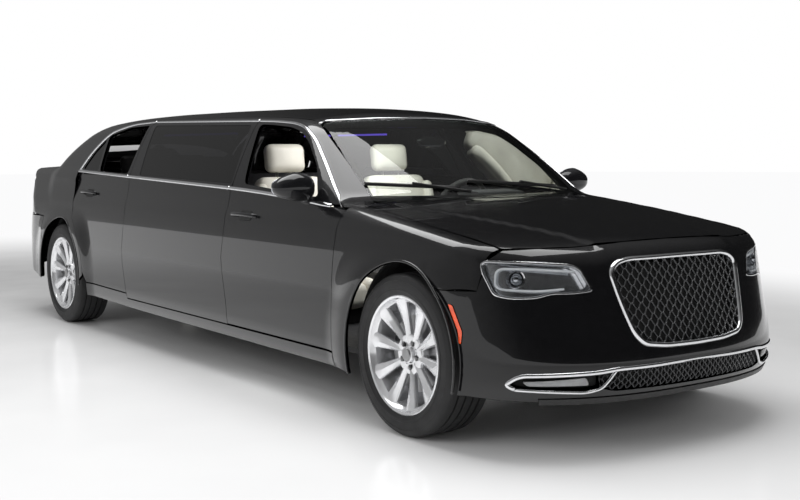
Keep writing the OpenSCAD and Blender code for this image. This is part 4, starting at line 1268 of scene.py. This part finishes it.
def wheel(name, x, s):
    """A rim of ten spokes, its nuts, its tyre and the brake disc behind it; s is the side."""
    body = name + "_wheel"
    centre = (x, s * WHEEL_Y, AXLE_Z)
    axis = (0, s, 0)
    w = TYRE_HALF_W
    rim = lathe(name + "_rim_barrel", centre, axis, [
        (RIM_R - 0.030, -w + 0.012), (RIM_R - 0.004, -w + 0.012), (RIM_R - 0.002, -w + 0.016),
        (RIM_R - 0.012, -w + 0.026), (RIM_R - 0.026, -w + 0.04), (RIM_R - 0.034, 0.0),
        (RIM_R - 0.022, w - 0.040), (RIM_R - 0.006, w - 0.018), (RIM_R - 0.002, w - 0.010),
        (RIM_R - 0.008, w - 0.006), (RIM_R - 0.017, w - 0.010), (RIM_R - 0.024, w - 0.024),
        (RIM_R - 0.034, w - 0.034), (RIM_R - 0.042, 0.0), (RIM_R - 0.040, -w + 0.03),
        (RIM_R - 0.030, -w + 0.012)], "bright_wheel", body, 72)
    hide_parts(name + "_rim")
    for i in range(10):
        turn = math.radians(36 * i + 9)
        swept_block(f"{name}_spoke_{i}", spoke_rings(centre, s, turn), body, "bright_wheel",
                    sharp=30)
    lathe(name + "_hub_face", centre, axis, [
        (0.094, 0.030), (0.094, 0.060), (0.088, 0.070), (0.066, 0.074), (0.046, 0.068), (0.040, 0.070),
        (0.036, 0.084), (0.028, 0.088), (0.0, 0.089)], "bright_wheel", body, 60)
    lathe(name + "_cap", centre, axis, [(0.031, 0.085), (0.031, 0.0885), (0.027, 0.0925), (0.0, 0.0940)],
          "brushed", body, 40)
    for i in range(5):
        a = math.radians(72 * i + 27)
        place = (centre[0] + 0.0575 * math.sin(a), centre[1] + s * 0.0, centre[2] + 0.0575 * math.cos(a))
        # Each nut sits in a dark matte well: painted shade of the lug hole in the bright rim
        lathe(f"{name}_nut_well_{i}", place, axis, [(0.0125, 0.066), (0.0125, 0.0755), (0.0105, 0.0755),
                                                    (0.0100, 0.069), (0.0, 0.069)], "liner", body, 20)
        lathe(f"{name}_nut_{i}", place, axis, [(0.0085, 0.066), (0.0085, 0.080), (0.0060, 0.0835),
                                               (0.0, 0.0835)], "brushed", body, 6)
    profile = [(RIM_R - 0.006, -w + 0.010), (RIM_R + 0.010, -w + 0.001), (RIM_R + 0.035, -w - 0.002),
               (TYRE_R - 0.030, -w + 0.002), (TYRE_R - 0.010, -w + 0.012)]
    grooves = (-0.062, -0.022, 0.022, 0.062)
    tread = [(TYRE_R - 0.003, -w + 0.024)]
    for g in grooves:
        crown = TYRE_R - 0.9 * g * g * 0.6
        tread += [(crown, g - 0.0055), (crown - 0.008, g - 0.0040), (crown - 0.008, g + 0.0040),
                  (crown, g + 0.0055)]
    tread.append((TYRE_R - 0.003, w - 0.024))
    profile += tread + [(TYRE_R - 0.010, w - 0.012), (TYRE_R - 0.020, w - 0.005),
                        (TYRE_R - 0.034, w + 0.0005), (TYRE_R - 0.036, w - 0.001),
                        (RIM_R + 0.040, w + 0.002), (RIM_R + 0.026, w + 0.001), (RIM_R + 0.024, w + 0.003),
                        (RIM_R + 0.018, w + 0.003), (RIM_R + 0.016, w), (RIM_R + 0.004, w - 0.004),
                        (RIM_R - 0.006, w - 0.010), (RIM_R - 0.012, 0.0), (RIM_R - 0.006, -w + 0.010)]
    tyre = lathe(name + "_tyre_skin", centre, axis, profile, "tyre", body, 96)
    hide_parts(name + "_tyre")
    lathe(name + "_disc", centre, axis,
          [(0.06, 0.004), (DISC_R, 0.004), (DISC_R, 0.012), (DISC_R - 0.002, 0.013), (DISC_R - 0.002, 0.023),
           (DISC_R, 0.024), (DISC_R, 0.032), (0.085, 0.032), (0.084, 0.046), (0.06, 0.046)],
          "brushed", body, 64)


for name, x, s in (("front_left", AXLES_X[0], 1), ("front_right", AXLES_X[0], -1),
                   ("rear_left", AXLES_X[1], 1), ("rear_right", AXLES_X[1], -1)):
    wheel(name, x, s)


# ---- Mirrors and wipers -------------------------------------------------------------------

def blob(name, centre, radii, body, material, power=2.6, mirror=False, shape=None):
    """A rounded box: a superellipsoid, with an optional change of each point."""
    count, steps = 40, 22
    e = 2 / power

    def bend(t):
        return math.copysign(abs(t) ** e, t)

    rings = []
    for v in np.linspace(-math.pi / 2, math.pi / 2, steps):
        ring = []
        for u in np.linspace(0, 2 * math.pi, count, endpoint=False):
            level = bend(math.cos(v))
            p = np.array([level * bend(math.cos(u)), level * bend(math.sin(u)), bend(math.sin(v))]) * radii
            ring.append(np.asarray(centre) + (shape(p) if shape else p))
        rings.append(ring)
    rings = mirrored(np.array(rings).reshape(-1, 3), mirror).reshape(steps, count, 3)
    return swept_block(name, rings, body, material, sharp=50, merge=1e-5)


for mirror in (False, True):
    side = lambda name: side_names(name, mirror)
    door = side("front_door")
    case = blob(side("mirror_case"), (1.392, 0.948, 1.083), (0.066, 0.108, 0.072), door, "gloss_black",
                mirror=mirror,
                shape=lambda p: p * [1.0 if p[0] > 0 else 0.55, 1, 1 - 0.35 * max(p[1], 0) / 0.108]
                + [-0.10 * p[1], 0, -0.05 * abs(p[1])])
    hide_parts(side("mirror"))
    blob(side("mirror_pane"), (1.351, 0.950, 1.083), (0.008, 0.092, 0.056), door, "mirror_glass",
         power=3.2, mirror=mirror,
         shape=lambda p: p * [1, 1, 1 - 0.35 * max(p[1], 0) / 0.108] + [-0.10 * p[1], 0, -0.05 * abs(p[1])])
    blob(side("mirror_foot"), (1.390, 0.868, 1.012), (0.036, 0.050, 0.020), door, "gloss_black",
         mirror=mirror, shape=lambda p: p + [0, 0, 0.5 * p[1]])
for name, low, high in (("left_wiper", (0.50, 1.062), (-0.14, 1.100)),
                        ("right_wiper", (-0.22, 1.068), (-0.66, 1.093))):
    line = resample(np.array([low, high]), 0.03, closed=False)
    path, normals = hit(AHEAD, line, body_field)
    sweep(name + "_blade", path + normals * 0.004, normals, half_round(0.014, 0.012), "black_plastic",
          "body")
    foot = path[0] + normals[0] * 0.012 + np.array([0.03, 0.05, -0.024])
    middle_point = path[len(path) // 2] + normals[0] * 0.020
    arm = foot + np.linspace(0, 1, 12)[:, None] * (middle_point - foot)
    sweep(name + "_arm", arm, np.tile(normals[0], (12, 1)), half_round(0.011, 0.009), "black_plastic",
          "body")


# ---- Interior -----------------------------------------------------------------------------

def pad(name, centre, size, body="body", material="cream_leather", turn=0.0, radius=0.05, puff=0.015,
        rows=0, up="z"):
    """A padded block: a rounded box that swells, with sewn lines pressed into its face."""
    size = np.asarray(size, float) / 2
    work = bmesh.new()
    bmesh.ops.create_cube(work, size=2.0)
    bmesh.ops.subdivide_edges(work, edges=work.edges, cuts=15, use_grid_fill=True)
    for v in work.verts:
        p = np.array(v.co)
        q = p * size
        inner = size - min(radius, size.min() * 0.95)
        near = np.clip(q, -inner, inner)
        out = q - near
        length = np.linalg.norm(out)
        if length > 1e-9:
            q = near + out / length * min(radius, size.min() * 0.95)
        k = {"x": 0, "y": 1, "z": 2}[up]
        others = [i for i in range(3) if i != k]
        crown = (1 - p[others[0]] ** 2) * (1 - p[others[1]] ** 2)
        q[k] += puff * crown * (1 if p[k] > 0 else -1) * (abs(p[k]) > 0.5)
        if rows and p[k] > 0.6:
            across = p[others[1]] if size[others[1]] < size[others[0]] else p[others[0]]
            q[k] -= 0.007 * math.exp(-(((across * rows / 2) % 1.0 - 0.5) / 0.10) ** 2) * min(1, crown * 4)
        v.co = q
    turning = Matrix.Rotation(turn, 4, "Y")
    for v in work.verts:
        v.co = turning @ v.co
        v.co += Vector(centre)
    mesh = bpy.data.meshes.new(name)
    work.to_mesh(mesh)
    work.free()
    piece = finish_piece(name, mesh, body, material)
    divide = piece.modifiers.new("soft", "SUBSURF")
    divide.levels = divide.render_levels = 1
    return piece


SEAT_Y = 0.38
for s, name in ((1, "driver_seat"), (-1, "passenger_seat")):
    y = s * SEAT_Y
    cushion = pad(name + "_cushion", (0.685, y, 0.425), (0.50, 0.40, 0.15), rows=3, turn=-0.07)
    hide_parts("left_front_seat" if s > 0 else "right_front_seat")
    footprint = [(0.50, y - 0.19), (0.90, y - 0.19), (0.90, y + 0.19), (0.50, y + 0.19)]
    swept_block(name + "_base", [[(*corner, z) for corner in footprint] for z in (0.285, 0.36)],
                "body", "black_plastic")
    pad(name + "_back", (0.425, y, 0.800), (0.13, 0.44, 0.62), turn=-0.22, up="x", rows=3)
    pad(name + "_headrest", (0.320, y, 1.215), (0.085, 0.26, 0.17), turn=-0.12, up="x", radius=0.04)
    for t, edge in ((1, "outer"), (-1, "inner")):
        pad(f"{name}_bolster_{edge}", (0.690, y + t * 0.225, 0.44), (0.48, 0.075, 0.15), turn=-0.07,
            radius=0.035)
        pad(f"{name}_wing_{edge}", (0.455, y + t * 0.215, 0.80), (0.13, 0.075, 0.54), turn=-0.22, up="x",
            radius=0.035)
        lathe(f"{name}_post_{edge}", (0.345, y + t * 0.06, 1.06), (-0.15, 0, 1),
              [(0.007, 0.0), (0.007, 0.12)], "brushed", "body", 16)


def block(name, box, body, material, radius=0.012):
    """A box with rounded upright edges and softened top."""
    x0, y0, z0, x1, y1, z1 = box
    rings = []
    for z, inset in ((z0, 0.0), (z1 - radius, 0.0), (z1 - radius * 0.3, radius * 0.3), (z1, radius)):
        left, right, front, back = y0 + inset, y1 - inset, x1 - inset, x0 + inset
        outline = smooth_outline([(back, left), (front, left), (front, right), (back, right)], radius, 10)
        rings.append([(x, y, z) for x, y in outline])
    count = min(len(r) for r in rings)
    return swept_block(name, [r[:count] for r in rings], body, material)


def extrude(name, profile, y0, y1, body, material, radius=0.02):
    """An (x, z) outline carried across the car, with rounded corners."""
    outline = smooth_outline(profile, radius, 0.02)
    return swept_block(name, [[(x, y, z) for x, z in outline] for y in (y0, y1)], body, material, 30)


dash = extrude("dash_top", [(1.585, 0.985), (1.585, 0.760), (1.470, 0.720), (1.380, 0.740), (1.290, 0.800),
                            (1.250, 0.870), (1.262, 0.930), (1.330, 1.000), (1.450, 1.008)],
               -0.630, 0.630, "body", "dash", radius=0.03)
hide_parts("dashboard")
extrude("instrument_hood", [(1.420, 0.995), (1.280, 0.985), (1.225, 1.020), (1.260, 1.040), (1.420, 1.030)],
        0.215, 0.545, "body", "dash", radius=0.014)
extrude("instrument_face", [(1.262, 0.895), (1.248, 0.900), (1.236, 1.004), (1.250, 1.004)], 0.235, 0.525,
        "body", "gloss_black", 0.003)
extrude("center_screen", [(1.262, 0.845), (1.242, 0.850), (1.248, 0.975), (1.262, 0.980)], -0.125, 0.125,
        "body", "gloss_black", 0.003)
extrude("dash_strip", [(1.262, 0.862), (1.241, 0.866), (1.241, 0.880), (1.262, 0.884)], -0.600, -0.150,
        "body", "brushed", 0.003)
for i, (low, high) in enumerate(((-0.600, -0.430), (-0.330, -0.150), (0.150, 0.210), (0.550, 0.610))):
    for j in range(4):
        level = 0.905 + 0.014 * j
        extrude(f"vent_{i}_{j}", [(1.262, level), (1.243, level), (1.243, level + 0.005),
                                  (1.262, level + 0.005)], low, high, "body", "black_plastic", 0.001)
extrude("console", [(0.300, 0.285), (1.300, 0.285), (1.300, 0.760), (1.180, 0.640), (0.900, 0.555),
                    (0.600, 0.575), (0.300, 0.590)], -0.095, 0.095, "body", "dash", radius=0.04)
pad("armrest", (0.470, 0, 0.610), (0.30, 0.17, 0.07), radius=0.03, material="black_leather")
lathe("shift_lever", (0.960, 0.02, 0.560), (0.1, 0, 1), [(0.014, 0), (0.011, 0.07), (0.022, 0.085),
                                                         (0.026, 0.11), (0.018, 0.13), (0, 0.134)],
      "black_leather", "body", 24)

# Steering wheel: ring, hub and three spokes about the tilted column
STEERING_R = 0.178
COLUMN_TILT = math.radians(25)
wheel_centre = Vector((1.050, SEAT_Y, 0.925))
column = Vector((-math.cos(COLUMN_TILT), 0, math.sin(COLUMN_TILT))).normalized()
wheel_side = Vector((0, 1, 0))
wheel_up = column.cross(wheel_side).normalized()
if wheel_up.z < 0:
    wheel_up.negate()


def on_wheel(across, up, out=0.0):
    """A point on the plane of the steering wheel."""
    return np.array(wheel_centre + wheel_side * across + wheel_up * up + column * out)


turns = np.linspace(0, 2 * math.pi, 64, endpoint=False)
ring = np.array([on_wheel(STEERING_R * math.cos(a), STEERING_R * math.sin(a)) for a in turns])
rounds = [(0.0135 * math.cos(a), 0.0155 * math.sin(a)) for a in np.linspace(0, 2 * np.pi, 14, False)]
piece = sweep("steering_ring", ring, np.tile(np.array(column), (64, 1)), rounds, "black_leather",
              "steering_wheel", closed=True)
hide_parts("steering_wheel")
lathe("steering_hub", on_wheel(0, 0), column,
      [(0.050, -0.05), (0.062, 0.0), (0.060, 0.018), (0.045, 0.027), (0.0, 0.030)],
      "black_leather", "steering_wheel", 40, scale=(1.0, 0.85))
for i, a in enumerate((0.06, math.pi - 0.06, -math.pi / 2)):
    reach = np.linspace(0.045, 0.172, 8)
    spoke = np.array([on_wheel(t * math.cos(a), t * math.sin(a), 0.004) for t in reach])
    sweep(f"steering_spoke_{i}", spoke, np.tile(np.array(column), (8, 1)), half_round(0.040, 0.008),
          "brushed", "steering_wheel")
lathe("column_cover", on_wheel(0, 0, -0.05), -column,
      [(0.052, 0.0), (0.058, 0.03), (0.062, 0.17), (0.0, 0.17)],
      "dash", "body", 32)

# Passenger cabin
piece = pad("rear_bench_cushion", (-1.360, 0, 0.440), (0.50, 1.28, 0.17), material="black_leather", rows=6)
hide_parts("rear_bench")
pad("rear_bench_back", (-1.700, 0, 0.800), (0.16, 1.28, 0.62), turn=-0.20, material="black_leather", up="x",
    rows=6)
for i, y in enumerate((-0.42, 0, 0.42)):
    pad(f"rear_headrest_{i}", (-1.790, y, 1.160), (0.09, 0.26, 0.14), material="black_leather", turn=-0.15,
        up="x", radius=0.04)
piece = pad("side_bench_cushion", (-0.600, 0.480, 0.440), (1.00, 0.38, 0.16), material="black_leather",
            rows=5)
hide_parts("side_bench")
pad("side_bench_back", (-0.600, 0.650, 0.700), (1.00, 0.09, 0.42), material="black_leather", up="y", rows=5,
    radius=0.035)
piece = block("bar_body", (-0.795, -0.690, 0.285, -0.065, -0.475, 0.770), "body", "gloss_black")
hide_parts("bar_cabinet")
block("bar_top", (-0.800, -0.695, 0.772, -0.060, -0.465, 0.796), "body", "brushed", 0.008)
for i in range(3):
    x = -0.67 + 0.24 * i
    block(f"bar_recess_{i}", (x - 0.09, -0.478, 0.36, x + 0.09, -0.468, 0.70), "body", "mirror_glass",
          0.004)
    lathe(f"decanter_{i}", (x, -0.58, 0.797), (0, 0, 1),
          [(0.032, 0), (0.036, 0.01), (0.034, 0.08), (0.014, 0.11), (0.013, 0.14), (0.018, 0.15), (0, 0.15)],
          "clear_glass", "body", 28)
for z, label in ((1.360, "ceiling"), (0.330, "floor")):
    for s, name in ((1, "left"), (-1, "right")):
        y = s * (0.545 if label == "ceiling" else 0.300)
        low, high = sorted((y, y + s * 0.012))
        block(f"{name}_{label}_light", (-1.00, low, z, 0.05, high, z + 0.012), "body", "violet_light",
              radius=0.003)
lathe("room_mirror", (1.270, 0.0, 1.305), (1, 0, 0.1), [(0.0, -0.006), (0.030, -0.006), (0.034, 0.0),
                                                        (0.028, 0.016), (0.0, 0.02)], "gloss_black",
      "body", 32, scale=(3.0, 1.0))


# ---- Finishes for the imported parts ------------------------------------------------------

SLOT_OF = {row["node"]: row["material_slot"] for row in frame["record"]["subparts"]}
for node, piece in frame["nodes"].items():
    finish = M[SLOT_OF[node]]
    if not piece.material_slots:
        piece.data.materials.append(finish)
    for place in piece.material_slots:
        place.material = finish
